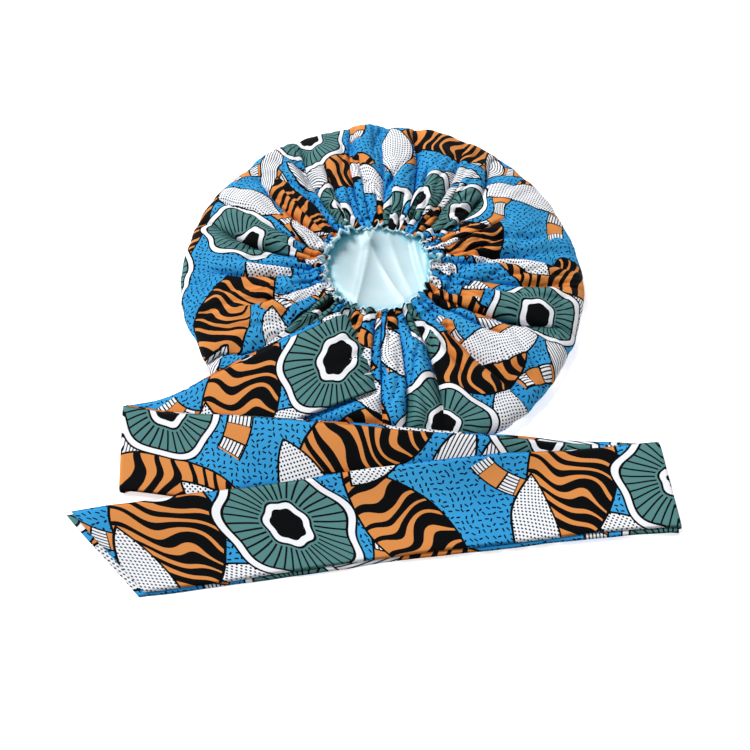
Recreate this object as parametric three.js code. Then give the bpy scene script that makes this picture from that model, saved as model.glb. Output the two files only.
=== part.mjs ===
// A sleep bonnet lying on its crown: a round pouch of printed cotton with a satin lining, gathered on
// elastic round an opening that faces up, and a long flat strap stitched to the gathered ring by its
// middle. The strap's two halves lie on each other, run off the bonnet and are folded in a flat zigzag.
// Millimetres, +Z up, with the origin on the floor under the middle of the crown and -Y to the front.

import * as THREE from "three";

// Driving dimensions
const BONNET_RADIUS = 200; // the pouch laid flat
const RING_RADIUS = 70; // where the gathered skirt meets the elastic casing
const OPENING_SHIFT = -12.5; // the opening lies this far in front of the crown's middle
const PLEATS = 44; // small pleats along the elastic
const PLEAT_HEIGHT = 2.2; // a pleat's crest over the mean, and its trough under it
const OUTER_CLOTH = 1.2;
const LINING_CLOTH = 1.0;
const CLOTH_GAP = 0.4; // between two layers of cloth
const SEAM_GAP = 0.4; // between the skirt's edge and the casing
const TIE_CLOTH = 1.2; // a tie is two plies pressed flat
const TIE_PITCH = 2.0; // from one layer of tie to the next
const TIE_COLUMNS = 5; // strips across a tie
const TIE_RUN_STEPS = [16, 24, 22]; // lengths along each straight run of a tie
const FOLD_STEPS = 4; // faces round each turn of a tie
const LAYER_EASE = 80; // a tie comes down off an edge of the layer below over this length

const AZIMUTHS = 2 * PLEATS;

// Where the outline stands proud of a circle or falls short of it
const OUTLINE_LOBES = [
  { azimuth: 20, rise: -4, width: 16 },
  { azimuth: 88, rise: 4, width: 36 },
  { azimuth: 141, rise: -6, width: 10 },
  { azimuth: 209, rise: -5, width: 9 },
  { azimuth: 306, rise: 4.5, width: 14 },
  { azimuth: 350, rise: -3, width: 8 },
];

// The main folds of the skirt. A fold runs from the ring, where its azimuth is given, out to its reach
// (0 at the outline, 1 at the ring) and leans by some degrees on the way.
const FOLDS = [
  { azimuth: 281, lean: -5, depth: 8, width: 7, reach: 0.02 },
  { azimuth: 296, lean: -9, depth: 6, width: 5, reach: 0.08 },
  { azimuth: 268, lean: 2, depth: 5, width: 4, reach: 0.2 },
  { azimuth: 308, lean: 2, depth: 6, width: 6, reach: 0.05 },
  { azimuth: 327, lean: 9, depth: 6, width: 6, reach: 0.05 },
  { azimuth: 347, lean: 4, depth: 4, width: 6, reach: 0.3 },
  { azimuth: 7, lean: -10, depth: 5, width: 6, reach: 0.05 },
  { azimuth: 31, lean: 18, depth: 6, width: 6, reach: 0.05 },
  { azimuth: 51, lean: 9, depth: 5, width: 5, reach: 0.15 },
  { azimuth: 69, lean: 10, depth: 6, width: 5, reach: 0.05 },
  { azimuth: 88, lean: 2, depth: 4, width: 5, reach: 0.4 },
  { azimuth: 108, lean: -7, depth: 6, width: 5, reach: 0.1 },
  { azimuth: 130, lean: -11, depth: 7, width: 9, reach: 0.02 },
  { azimuth: 149, lean: -10, depth: 4, width: 6, reach: 0.2 },
  { azimuth: 173, lean: -9, depth: 6, width: 7, reach: 0.02 },
  { azimuth: 189, lean: -6, depth: 5, width: 6, reach: 0.2 },
  { azimuth: 208, lean: 3, depth: 6, width: 5, reach: 0.1 },
];

// The outer cloth's outside face, from the flat crown round the rim and up to the ring. share runs from
// 0 at the outline to 1 at the ring, inset is measured in from there, and folds and pleats are shares of
// their full depth.
const OUTER_PROFILE = [
  { share: 0, inset: 17, height: 0, folds: 0, pleats: 0 },
  { share: 0, inset: 5, height: 2, folds: 0, pleats: 0 },
  { share: 0, inset: 0, height: 8, folds: 0, pleats: 0 },
  { share: 0, inset: 5, height: 14, folds: 0, pleats: 0 },
  { share: 0, inset: 17, height: 17, folds: 0.1, pleats: 0 },
  { share: 0.3, inset: 0, height: 20, folds: 0.45, pleats: 0 },
  { share: 0.52, inset: 0, height: 23, folds: 0.8, pleats: 0 },
  { share: 0.74, inset: 0, height: 26, folds: 1, pleats: 0.2 },
  { share: 0.9, inset: 0, height: 28.5, folds: 0.8, pleats: 0.7 },
  { share: 1, inset: 0, height: 30, folds: 0.3, pleats: 1 },
];

// The lining hangs a gap inside the outer cloth as far as the ring, with fewer rows round the rim. These
// rows of its own then take it under the casing and up the opening's edge.
const LINING_MOUTH = [
  { radius: 68, height: 27.7, folds: 0.3, pleats: 1, frill: 0 },
  { radius: 56.5, height: 27.2, folds: 0, pleats: 1, frill: 0.3 },
  { radius: 51.2, height: 33.2, folds: 0, pleats: 1, frill: 1 },
];

// The casing with the elastic in it, as a closed section from its outer lower edge round to its top. The
// thin lip at its inner edge is the frilled header.
const CASING_SECTION = [
  { radius: RING_RADIUS - SEAM_GAP, height: 28.5, folds: 0.3, pleats: 1, frill: 0 },
  { radius: 57, height: 28.2, folds: 0, pleats: 1, frill: 0.3 },
  { radius: 52.1, height: 33.4, folds: 0, pleats: 1, frill: 1 },
  { radius: 53.3, height: 34.2, folds: 0, pleats: 1, frill: 1 },
  { radius: 57.5, height: 32, folds: 0, pleats: 1, frill: 0.3 },
  { radius: 63, height: 33, folds: 0, pleats: 1.1, frill: 0 },
  { radius: RING_RADIUS - SEAM_GAP, height: 31, folds: 0.3, pleats: 1, frill: 0 },
];
const FRILL = 1.3; // how far the header waves in and out

// How high a tie lies over the bonnet, by share, and how it slopes to the floor outside the outline
const TIE_REST = [
  { share: -0.45, height: 0 },
  { share: -0.28, height: 3.6 },
  { share: -0.1, height: 11.4 },
  { share: 0.02, height: 15.8 },
  { share: 0.14, height: 18.3 },
  { share: 0.3, height: 20.9 },
  { share: 0.74, height: 27 },
  { share: 0.9, height: 31.2 },
  { share: 1, height: 34.4 },
  { share: 1.1, height: 37 },
];

// The two halves of the strap. layers numbers their runs from the floor up, and corners holds the points
// of the upper and lower edges where the half starts, turns over and ends in its slanted tip.
const TAILS = [
  {
    name: "tie_upper",
    layers: [1, 2, 5],
    corners: [
      { upper: [-29, -68], lower: [-2, -143] },
      { upper: [-230, -152], lower: [-219, -229] },
      { upper: [238.5, -185.5], lower: [241.3, -262.5] },
      { upper: [-258, -251], lower: [-188, -314] },
    ],
  },
  {
    name: "tie_lower",
    layers: [0, 3, 4],
    corners: [
      { upper: [-32, -62], lower: [-4, -138] },
      { upper: [-230.5, -153], lower: [-219.5, -231.5] },
      { upper: [238, -189.5], lower: [240.5, -267] },
      { upper: [-262.5, -254], lower: [-192, -317.5] },
    ],
  },
];

const FINISHES = {
  outer_shell: { color: 0x2e9bdf, roughness: 0.85, metalness: 0 },
  satin_lining: { color: 0xcfeef5, roughness: 0.35, metalness: 0 },
  elastic_casing: { color: 0x568a84, roughness: 0.85, metalness: 0 },
  tie_upper: { color: 0xe9923f, roughness: 0.85, metalness: 0 },
  tie_lower: { color: 0xe08030, roughness: 0.85, metalness: 0 },
};

const { lerp, smoothstep, euclideanModulo, degToRad } = THREE.MathUtils;

// The signed angle in degrees from one azimuth to another, from -180 to 180
function azimuthFrom(azimuth, other) {
  return euclideanModulo(azimuth - other + 180, 360) - 180;
}

function bell(distance, width) {
  return Math.exp(-((distance / width) ** 2));
}

function outlineRadius(azimuth) {
  const rise = (lobe) => lobe.rise * bell(azimuthFrom(azimuth, lobe.azimuth), lobe.width);
  return OUTLINE_LOBES.reduce((radius, lobe) => radius + rise(lobe), BONNET_RADIUS);
}

// How far the folds sink the skirt at an azimuth in degrees and a share of the way to the ring
function foldDepth(azimuth, share) {
  return FOLDS.reduce((deepest, fold) => {
    const middle = fold.azimuth + fold.lean * (1 - share);
    const along = smoothstep(share, fold.reach, Math.min(fold.reach + 0.5, 1));
    return Math.max(deepest, fold.depth * along * bell(azimuthFrom(azimuth, middle), fold.width));
  }, 0);
}

// A value between the rows of a table, on a smooth curve through them
function smoothRow(table, key, value, at) {
  const last = table.length - 1;
  if (at <= table[0][key]) return table[0][value];
  if (at >= table[last][key]) return table[last][value];
  const next = table.findIndex((row) => row[key] > at);
  const slope = (i) => {
    const a = table[Math.max(i - 1, 0)];
    const b = table[Math.min(i + 1, last)];
    return i === 0 || i === last ? 0 : (b[value] - a[value]) / (b[key] - a[key]);
  };
  const span = table[next][key] - table[next - 1][key];
  const t = (at - table[next - 1][key]) / span;
  return (
    table[next - 1][value] * (1 + 2 * t) * (1 - t) ** 2 +
    table[next][value] * t * t * (3 - 2 * t) +
    slope(next - 1) * span * t * (1 - t) ** 2 -
    slope(next) * span * t * t * (1 - t)
  );
}

// One mesh from points and triangles of point numbers, with its faces turned outwards
function closedMesh(name, points, triangles) {
  const volume = triangles.reduce((sum, [a, b, c]) => {
    const across = new THREE.Vector3().crossVectors(points[b], points[c]);
    return sum + points[a].dot(across);
  }, 0);
  const facing = volume > 0 ? triangles : triangles.map(([a, b, c]) => [a, c, b]);
  const geometry = new THREE.BufferGeometry().setFromPoints(points);
  geometry.setIndex(facing.flat());
  geometry.computeVertexNormals();
  const mesh = new THREE.Mesh(geometry, new THREE.MeshStandardMaterial(FINISHES[name]));
  mesh.name = name;
  return mesh;
}

function quad(a, b, c, d) {
  return [
    [a, b, c],
    [a, c, d],
  ];
}

// The same quad, split along the same diagonal and facing the other way
function quadBack(a, b, c, d) {
  return [
    [a, c, b],
    [a, d, c],
  ];
}

// The bonnet's point for a row of a profile at one azimuth step, moved in along the profile's normal
function bonnetPoint(row, step, normal, depth) {
  const azimuth = (360 * step) / AZIMUTHS;
  const crest = step % 2 ? 1 : -1;
  const share = row.share ?? 1;
  const rowRadius = row.radius ?? lerp(outlineRadius(azimuth), RING_RADIUS, share) - row.inset;
  const radius = rowRadius + crest * FRILL * (row.frill ?? 0) - normal.x * depth;
  const height =
    row.height -
    foldDepth(azimuth, share) * row.folds +
    crest * PLEAT_HEIGHT * row.pleats -
    normal.y * depth;
  const angle = degToRad(azimuth);
  const x = radius * Math.cos(angle);
  const y = OPENING_SHIFT * share + radius * Math.sin(angle);
  return new THREE.Vector3(x, y, height);
}

// The outward normal of a profile at each row, as radius and height
function profileNormals(profile) {
  const spots = profile.map((row) => {
    const radius = row.radius ?? lerp(BONNET_RADIUS, RING_RADIUS, row.share) - row.inset;
    return new THREE.Vector2(radius, row.height);
  });
  const before = new THREE.Vector2(0, spots[0].y);
  return spots.map((spot, i) => {
    const from = i ? spots[i - 1] : before;
    const to = spots[Math.min(i + 1, spots.length - 1)];
    const along = new THREE.Vector2().subVectors(to, from).normalize();
    return new THREE.Vector2(along.y, -along.x);
  });
}

// A pouch of cloth between two depths under a profile, open at the profile's end
function pouch(name, profile, depthOutside, depthInside) {
  const normals = profileNormals(profile);
  const points = [];
  for (const depth of [depthOutside, depthInside])
    profile.forEach((row, i) => {
      for (let step = 0; step < AZIMUTHS; step++)
        points.push(bonnetPoint(row, step, normals[i], depth));
    });
  const rows = profile.length;
  const centres = [points.length, points.length + 1];
  points.push(new THREE.Vector3(0, 0, depthOutside), new THREE.Vector3(0, 0, depthInside));
  const at = (face, row, step) => (face * rows + row) * AZIMUTHS + (step % AZIMUTHS);
  const triangles = [];
  for (let step = 0; step < AZIMUTHS; step++) {
    triangles.push([centres[0], at(0, 0, step + 1), at(0, 0, step)]);
    triangles.push([centres[1], at(1, 0, step), at(1, 0, step + 1)]);
    for (let row = 0; row + 1 < rows; row++) {
      const next = row + 1;
      triangles.push(
        ...quad(at(0, row, step), at(0, row, step + 1), at(0, next, step + 1), at(0, next, step)),
        ...quadBack(at(1, row, step), at(1, row, step + 1), at(1, next, step + 1), at(1, next, step)),
      );
    }
    const last = rows - 1;
    triangles.push(
      ...quad(at(0, last, step), at(0, last, step + 1), at(1, last, step + 1), at(1, last, step)),
    );
  }
  return closedMesh(name, points, triangles);
}

// A ring whose section is a closed loop of rows
function ring(name, section) {
  const points = [];
  for (const row of section)
    for (let step = 0; step < AZIMUTHS; step++)
      points.push(bonnetPoint(row, step, new THREE.Vector2(), 0));
  const at = (row, step) => (row % section.length) * AZIMUTHS + (step % AZIMUTHS);
  const triangles = [];
  for (let row = 0; row < section.length; row++)
    for (let step = 0; step < AZIMUTHS; step++)
      triangles.push(
        ...quad(at(row, step), at(row, step + 1), at(row + 1, step + 1), at(row + 1, step)),
      );
  return closedMesh(name, points, triangles);
}

// The share of the way from the outline to the ring at a place on the floor plan
function shareAt(x, y) {
  let share = 0;
  for (let pass = 0; pass < 6; pass++) {
    const out = Math.hypot(x, y - OPENING_SHIFT * Math.max(share, 0));
    share = (BONNET_RADIUS - out) / (BONNET_RADIUS - RING_RADIUS);
  }
  return share;
}

// The four corners of the tie run that lies in a layer
function footprint(layer) {
  const tail = TAILS.find(({ layers }) => layers.includes(layer));
  const run = tail.layers.indexOf(layer);
  const [from, to] = [tail.corners[run], tail.corners[run + 1]];
  return [from.upper, to.upper, to.lower, from.lower];
}

// 1 over a tie run's footprint, easing to 0 around it
function coverage(layer, x, y) {
  const corners = footprint(layer);
  const inside = corners.map(([ax, ay], i) => {
    const [bx, by] = corners[(i + 1) % corners.length];
    return ((bx - ax) * (y - ay) - (by - ay) * (x - ax)) / Math.hypot(bx - ax, by - ay);
  });
  const area = inside.reduce((sum, value) => sum + value, 0);
  const within = Math.min(...inside.map((value) => value * Math.sign(area)));
  return smoothstep(within, -LAYER_EASE, 0);
}

// The height of a tie layer's underside at a place on the floor plan
function tieHeight(layer, x, y) {
  let height = smoothRow(TIE_REST, "share", "height", shareAt(x, y));
  for (let below = 0; below < layer; below++) height += TIE_PITCH * coverage(below, x, y);
  return height;
}

// The lines across a tail, from its seam to its tip. Each has its plan corners, how far it bulges past
// a fold, and how its height runs from the layer below the fold to the one above it.
function tailLines(tail) {
  const lines = [];
  tail.layers.forEach((layer, run) => {
    const [from, to] = [tail.corners[run], tail.corners[run + 1]];
    const steps = TIE_RUN_STEPS[run];
    const straight = { bulge: 0, turn: 0, lower: layer, upper: layer, up: run % 2 ? -1 : 1 };
    for (let step = run ? 1 : 0; step <= steps; step++) {
      const t = step / steps;
      const mix = (a, b) => [lerp(a[0], b[0], t), lerp(a[1], b[1], t)];
      lines.push({ ...straight, a: mix(from.upper, to.upper), b: mix(from.lower, to.lower) });
    }
    if (run + 1 === tail.layers.length) return;
    for (let step = 1; step <= FOLD_STEPS; step++)
      lines.push({
        a: to.upper,
        b: to.lower,
        bulge: run % 2 ? 1 : -1,
        turn: (Math.PI * step) / FOLD_STEPS,
        lower: layer,
        upper: tail.layers[run + 1],
        up: run % 2 ? -1 : 1,
      });
  });
  return lines;
}

// One half of the strap as a closed solid: its two faces and the walls round them
function tie(tail) {
  const lines = tailLines(tail);
  const columns = TIE_COLUMNS + 1;
  const points = [];
  for (const face of [0.5, -0.5])
    for (const line of lines)
      for (let column = 0; column < columns; column++) {
        const t = column / TIE_COLUMNS;
        const x = lerp(line.a[0], line.b[0], t);
        const y = lerp(line.a[1], line.b[1], t);
        const low = tieHeight(line.lower, x, y);
        const high = tieHeight(line.upper, x, y);
        const radius = (high - low) / 2;
        const offset = face * TIE_CLOTH * line.up;
        const out = Math.sin(line.turn) * (radius - offset) * line.bulge;
        const height = (low + high) / 2 - Math.cos(line.turn) * (radius - offset);
        points.push(new THREE.Vector3(x + out, y, height + TIE_CLOTH / 2));
      }
  const at = (face, line, column) => (face * lines.length + line) * columns + column;
  const triangles = [];
  for (let line = 0; line + 1 < lines.length; line++) {
    const next = line + 1;
    for (let column = 0; column < TIE_COLUMNS; column++) {
      const beside = column + 1;
      triangles.push(
        ...quad(at(0, line, column), at(0, next, column), at(0, next, beside), at(0, line, beside)),
        ...quadBack(at(1, line, column), at(1, next, column), at(1, next, beside), at(1, line, beside)),
      );
    }
    const edge = TIE_COLUMNS;
    triangles.push(
      ...quad(at(1, line, 0), at(1, next, 0), at(0, next, 0), at(0, line, 0)),
      ...quad(at(0, line, edge), at(0, next, edge), at(1, next, edge), at(1, line, edge)),
    );
  }
  const last = lines.length - 1;
  for (let column = 0; column < TIE_COLUMNS; column++) {
    const beside = column + 1;
    triangles.push(
      ...quad(at(0, 0, column), at(0, 0, beside), at(1, 0, beside), at(1, 0, column)),
      ...quad(at(1, last, column), at(1, last, beside), at(0, last, beside), at(0, last, column)),
    );
  }
  return closedMesh(tail.name, points, triangles);
}

const [crownEdge, , rim, , shoulder, ...upperSkirt] = OUTER_PROFILE.slice(0, -1);
const liningProfile = [crownEdge, rim, shoulder, ...upperSkirt, ...LINING_MOUTH];
const liningDepth = OUTER_CLOTH + CLOTH_GAP;

const bonnet = new THREE.Group();
bonnet.add(
  pouch("outer_shell", OUTER_PROFILE, 0, OUTER_CLOTH),
  pouch("satin_lining", liningProfile, liningDepth, liningDepth + LINING_CLOTH),
  ring("elastic_casing", CASING_SECTION),
);
const strap = new THREE.Group();
strap.add(...TAILS.map(tie));
const sleepBonnet = new THREE.Group();
sleepBonnet.add(bonnet, strap);

export default sleepBonnet;
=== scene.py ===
"""The looks of a sleep bonnet: printed cotton outside, satin inside, and a long flat strap.

The bonnet lies on its crown with the gathered opening up, and the two halves of the strap lie folded
in front of it. Lengths are millimetres until a mesh is made. +Z is up and -Y is to the front, as in
the CAD frame. Azimuths are degrees round the crown, from +X towards +Y.
"""

import logging
import math
from collections.abc import Sequence
from dataclasses import astuple, dataclass, field
from enum import Enum

import bpy
import numpy as np
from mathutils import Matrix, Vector


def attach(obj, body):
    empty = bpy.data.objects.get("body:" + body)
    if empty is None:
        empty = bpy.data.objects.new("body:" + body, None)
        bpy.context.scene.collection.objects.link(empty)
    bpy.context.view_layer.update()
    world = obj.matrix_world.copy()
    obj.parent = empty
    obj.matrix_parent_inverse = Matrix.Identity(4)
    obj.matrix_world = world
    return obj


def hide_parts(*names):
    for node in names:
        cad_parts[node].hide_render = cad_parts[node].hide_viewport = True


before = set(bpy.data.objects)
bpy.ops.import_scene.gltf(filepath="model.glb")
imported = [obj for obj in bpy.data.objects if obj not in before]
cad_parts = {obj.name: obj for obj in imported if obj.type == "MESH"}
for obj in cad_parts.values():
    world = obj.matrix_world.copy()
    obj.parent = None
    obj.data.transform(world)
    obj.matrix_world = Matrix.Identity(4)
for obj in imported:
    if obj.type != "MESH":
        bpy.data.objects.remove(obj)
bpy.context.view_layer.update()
LOG = logging.getLogger("sleep_bonnet")
METRES = 0.001
FULL_TURN = 360.0
BONNET_RADIUS = 200.0
RING_RADIUS = 70.0
# The opening lies a little in front of the crown's middle.
OPENING_SHIFT = -12.5
# The print repeats after this much cloth.
REPEAT_WIDTH = 330.0
REPEAT_HEIGHT = 290.0


class Dye(Enum):
    """The inks of the print, the dyed satin and the satin's painted shade, as sRGB hex values."""

    BLUE = "#42A9E0"
    DEEP_BLUE = "#278FCF"
    INK = "#040508"
    ORANGE = "#DC8E4C"
    TEAL = "#568585"
    CHALK = "#F1F3F8"
    AQUA = "#D8E7EC"
    DEEP_AQUA = "#BBD9E2"
    # Painted shade: the deep aqua that the satin's folds are tinted towards, not a dye of the satin.
    PAINTED_SHADE_AQUA = "#7FE6F8"
    STUDIO_WHITE = "#FFFFFF"


class Filling(Enum):
    """What fills a white patch of the print."""

    DOTS = "dots"
    HATCH = "hatch"


class Held(Enum):
    GATHERED = "gathered"
    FOLDED = "folded"


Numbers = np.ndarray | float
Socket = bpy.types.NodeSocket
Feed = Socket | Dye | float | tuple[float, ...]


def linear(colour: Dye) -> tuple[float, float, float, float]:
    """A dye's sRGB hex value as linear red, green and blue, with an alpha of one."""
    digits = colour.value.lstrip("#")
    channels = [int(digits[i : i + 2], 16) / 255 for i in (0, 2, 4)]
    red, green, blue = (c / 12.92 if c <= 0.04045 else ((c + 0.055) / 1.055) ** 2.4 for c in channels)
    return red, green, blue, 1.0


def smoothstep(low: float, high: float, at: Numbers) -> Numbers:
    """A smooth ramp from 0 at low to 1 at high."""
    t = np.clip((at - low) / (high - low), 0, 1)
    return t * t * (3 - 2 * t)


def wrapped(degrees: Numbers) -> Numbers:
    """An angle in degrees brought to -180 to 180."""
    return (degrees + 180) % FULL_TURN - 180


def corners(grid: Numbers) -> Numbers:
    """The four corners of each field of a grid, one field after another."""
    fields = np.stack([grid[:-1, :-1], grid[1:, :-1], grid[1:, 1:], grid[:-1, 1:]], axis=2)
    return fields.reshape(-1, 4, *grid.shape[2:])


def smooth_rows(table: Sequence[tuple[float, float]], at: Numbers) -> Numbers:
    """Values between a table's rows, on the smooth curve that the CAD source uses.

    Args:
        table: Rows of position and value.
        at: Where the values are wanted.

    Returns:
        The values there.
    """
    xs, ys = (np.array(column, float) for column in zip(*table))
    slopes = np.zeros(len(xs))
    slopes[1:-1] = (ys[2:] - ys[:-2]) / (xs[2:] - xs[:-2])
    at = np.clip(at, xs[0], xs[-1])
    after = np.clip(np.searchsorted(xs, at, side="right"), 1, len(xs) - 1)
    span = xs[after] - xs[after - 1]
    t = (at - xs[after - 1]) / span
    start = ys[after - 1] * (1 + 2 * t) * (1 - t) ** 2 + slopes[after - 1] * span * t * (1 - t) ** 2
    return start + ys[after] * t * t * (3 - 2 * t) - slopes[after] * span * t * t * (1 - t)


@dataclass
class Cloth:
    """A mesh of cloth in millimetres.

    Attributes:
        points: One row of x, y and z for each point.
        faces: Four point numbers for each face, the last one -1 in a triangle.
        cut: Where each corner of each face lies on the flat cut cloth.
    """

    points: Numbers
    faces: Numbers
    cut: Numbers

    def to_object(self, name: str, material: bpy.types.Material, thickness: float) -> bpy.types.Object:
        """Makes the Blender object and links it to the scene.

        Args:
            name: The piece's name.
            material: Its finish.
            thickness: The cloth's thickness, or 0 where the mesh is already a closed solid.

        Returns:
            The object.
        """
        mesh = bpy.data.meshes.new(name)
        faces = [[i for i in face if i >= 0] for face in self.faces.tolist()]
        mesh.from_pydata((self.points * METRES).tolist(), [], faces)
        layer = mesh.uv_layers.new(name="cut")
        keep = self.faces >= 0
        layer.data.foreach_set("uv", (self.cut[keep] * METRES).astype(np.float32).ravel())
        mesh.materials.append(material)
        mesh.shade_smooth()
        mesh.update()
        piece = bpy.data.objects.new(name, mesh)
        bpy.context.scene.collection.objects.link(piece)
        if thickness:
            wall = piece.modifiers.new("cloth thickness", "SOLIDIFY")
            wall.thickness = thickness * METRES
            wall.offset = -1
        return piece


def stand_for(piece: bpy.types.Object, node: str) -> None:
    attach(piece, "root")
    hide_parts(node)
    LOG.info("%s: %d faces", piece.name, len(piece.data.polygons))


@dataclass(frozen=True)
class Graph:
    """The nodes of a finish.

    Attributes:
        tree: The material's node tree.
        mix_inputs: A colour mix's factor, colour under and colour over.
        mix_output: A colour mix's colour.
    """

    tree: bpy.types.NodeTree
    mix_inputs: tuple[int, ...] = (0, 6, 7)
    mix_output: int = 2

    def add(self, kind: str, *feeds: Feed, output: int | str = 0, **named: Feed | str) -> Socket:
        """Adds a node with its settings and links.

        Args:
            kind: The node's type, with the operation of a maths node after a full stop.
            feeds: What its inputs take, in order: values, dyes or other nodes' sockets.
            output: The output to hand on, by name or number.
            named: More inputs, whose names begin with a capital, and settings, whose names don't.

        Returns:
            That output socket.
        """
        kind, _, operation = kind.partition(".")
        node = self.tree.nodes.new(f"ShaderNode{kind}")
        slots = range(len(feeds))
        if operation:
            node.operation = operation
        if kind == "Mix":
            node.data_type = "RGBA"
            slots, output = self.mix_inputs, self.mix_output
        inputs = dict(zip(slots, feeds))
        for name, value in named.items():
            if name[0].isupper():
                inputs[name] = value
            else:
                setattr(node, name, value)
        for name, value in inputs.items():
            if isinstance(value, Socket):
                self.tree.links.new(value, node.inputs[name])
            else:
                node.inputs[name].default_value = linear(value) if isinstance(value, Dye) else value
        return node.outputs[output]

    def polar(self, local: Socket) -> tuple[Socket, Socket]:
        """How far from the middle a place is, and its angle round the middle in radians."""
        x, y = (self.add("SeparateXYZ", local, output=axis) for axis in (0, 1))
        return self.add("VectorMath.LENGTH", local, output="Value"), self.add("Math.ARCTAN2", y, x)

    def off_middle(self, count: Socket) -> Socket:
        """How far a count lies from the middle of its step, from 0 to 0.5."""
        part = self.add("Math.FRACT", count)
        return self.add("Math.ABSOLUTE", self.add("Math.SUBTRACT", part, 0.5))


@dataclass(frozen=True)
class Motif:
    """A motif of the print, in a repeat of REPEAT_WIDTH by REPEAT_HEIGHT.

    Attributes:
        x: Where its middle lies across the repeat.
        y: Where its middle lies along the repeat.
        turn: How far it is turned, in degrees.
    """

    x: float
    y: float
    turn: float

    def paint(self, graph: Graph, cloth: Socket, under: Socket) -> Socket:
        """Paints the motif over what is under it.

        Args:
            graph: The finish's nodes.
            cloth: The place on the cut cloth.
            under: The colour under the motif.

        Returns:
            The colour with the motif on it.
        """
        away = graph.add("VectorMath.SUBTRACT", cloth, (self.x, self.y, 0))
        half = (REPEAT_WIDTH / 2, REPEAT_HEIGHT / 2, 1)
        near = graph.add("VectorMath.WRAP", away, half, tuple(-side for side in half))
        turn = math.radians(-self.turn)
        local = graph.add("VectorRotate", rotation_type="Z_AXIS", Vector=near, Angle=turn)
        inside, colour = self.draw(graph, local)
        return graph.add("Mix", inside, under, colour)

    def draw(self, graph: Graph, local: Socket) -> tuple[Socket, Socket]:
        """Draws the motif round its own middle.

        Args:
            graph: The finish's nodes.
            local: The motif's own coordinates.

        Returns:
            1 inside the motif and 0 outside, and its colour.
        """
        raise NotImplementedError


@dataclass(frozen=True)
class Rosette(Motif):
    """A ribbed teal round with a white piping.

    Attributes:
        radius: To its outer ink line.
        ribs: How many ink ribs run out from its middle.
        lobes: How many shallow lobes its edge has.
        core: The dark core's share of the radius.
        core_piping: How wide the piping round the core is, as a share of the outer one.
    """

    radius: float
    ribs: int = 38
    lobes: int = 7
    piping: float = 7.0
    line: float = 1.9
    rib_line: float = 1.5
    core: float = 0.24
    core_piping: float = 0.75
    lobe_depth: float = 0.05

    def draw(self, graph: Graph, local: Socket) -> tuple[Socket, Socket]:
        """Draws the round: its rings, and the ribs between the two pipings."""
        out, angle = graph.polar(local)
        wave = graph.add("Math.SINE", graph.add("Math.MULTIPLY", angle, float(self.lobes)))
        swell = graph.add("Math.MULTIPLY_ADD", wave, self.lobe_depth, 1.0)
        share = graph.add("Math.DIVIDE", graph.add("Math.DIVIDE", out, swell), self.radius)
        count = graph.add("Math.MULTIPLY", angle, self.ribs / math.tau)
        arc = graph.add("Math.MULTIPLY", graph.off_middle(count), out)
        rib = graph.add("Math.LESS_THAN", arc, self.rib_line / 2 * self.ribs / math.tau)
        inner = self.core + (self.piping + self.line) / self.radius
        outer = 1 - self.piping / self.radius
        ribbed = graph.add("Math.COMPARE", share, (inner + outer) / 2, (outer - inner) / 2)
        drawn = graph.add("Math.MULTIPLY", rib, ribbed)
        colour = graph.add("Mix", drawn, self.rings(graph, share), Dye.INK)
        return graph.add("Math.LESS_THAN", share, 1.0), colour

    def rings(self, graph: Graph, share: Socket) -> Socket:
        """The flat colours by the share of the way from the round's middle to its edge."""
        line, piping = self.line / self.radius, self.piping / self.radius
        core_edge = self.core + piping * self.core_piping
        zones = [
            (0.0, Dye.INK),
            (self.core, Dye.CHALK),
            (core_edge, Dye.INK),
            (core_edge + line, Dye.TEAL),
            (1 - piping - line, Dye.INK),
            (1 - piping, Dye.CHALK),
            (1 - line, Dye.INK),
        ]
        colour = graph.add("ValToRGB", share)
        ramp = colour.node.color_ramp
        ramp.interpolation = "CONSTANT"
        while len(ramp.elements) < len(zones):
            ramp.elements.new(1.0)
        for element, (position, dye) in zip(ramp.elements, zones):
            element.position, element.color = position, linear(dye)
        return colour


@dataclass(frozen=True)
class Leaf(Motif):
    """A pointed oval of the print, bounded by two arcs, with an ink outline.

    Attributes:
        length: From point to point.
        breadth: Across its middle.
    """

    length: float
    breadth: float
    line: float = 1.9

    def draw(self, graph: Graph, local: Socket) -> tuple[Socket, Socket]:
        """Draws the oval with its filling and its outline."""
        half, rise = self.length / 2, self.breadth / 2
        shift, radius = ((half**2 + sign * rise**2) / (2 * rise) for sign in (-1, 1))
        aways = [graph.add("VectorMath.ADD", local, (0.0, side, 0.0)) for side in (shift, -shift)]
        outs = [graph.add("VectorMath.LENGTH", away, output="Value") for away in aways]
        depth = graph.add("Math.SUBTRACT", radius, graph.add("Math.MAXIMUM", *outs))
        edge = graph.add("Math.LESS_THAN", depth, self.line)
        colour = graph.add("Mix", edge, self.fill(graph, local), Dye.INK)
        return graph.add("Math.GREATER_THAN", depth, 0.0), colour

    def fill(self, graph: Graph, local: Socket) -> Socket:
        """The colour inside the outline."""
        raise NotImplementedError


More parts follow.
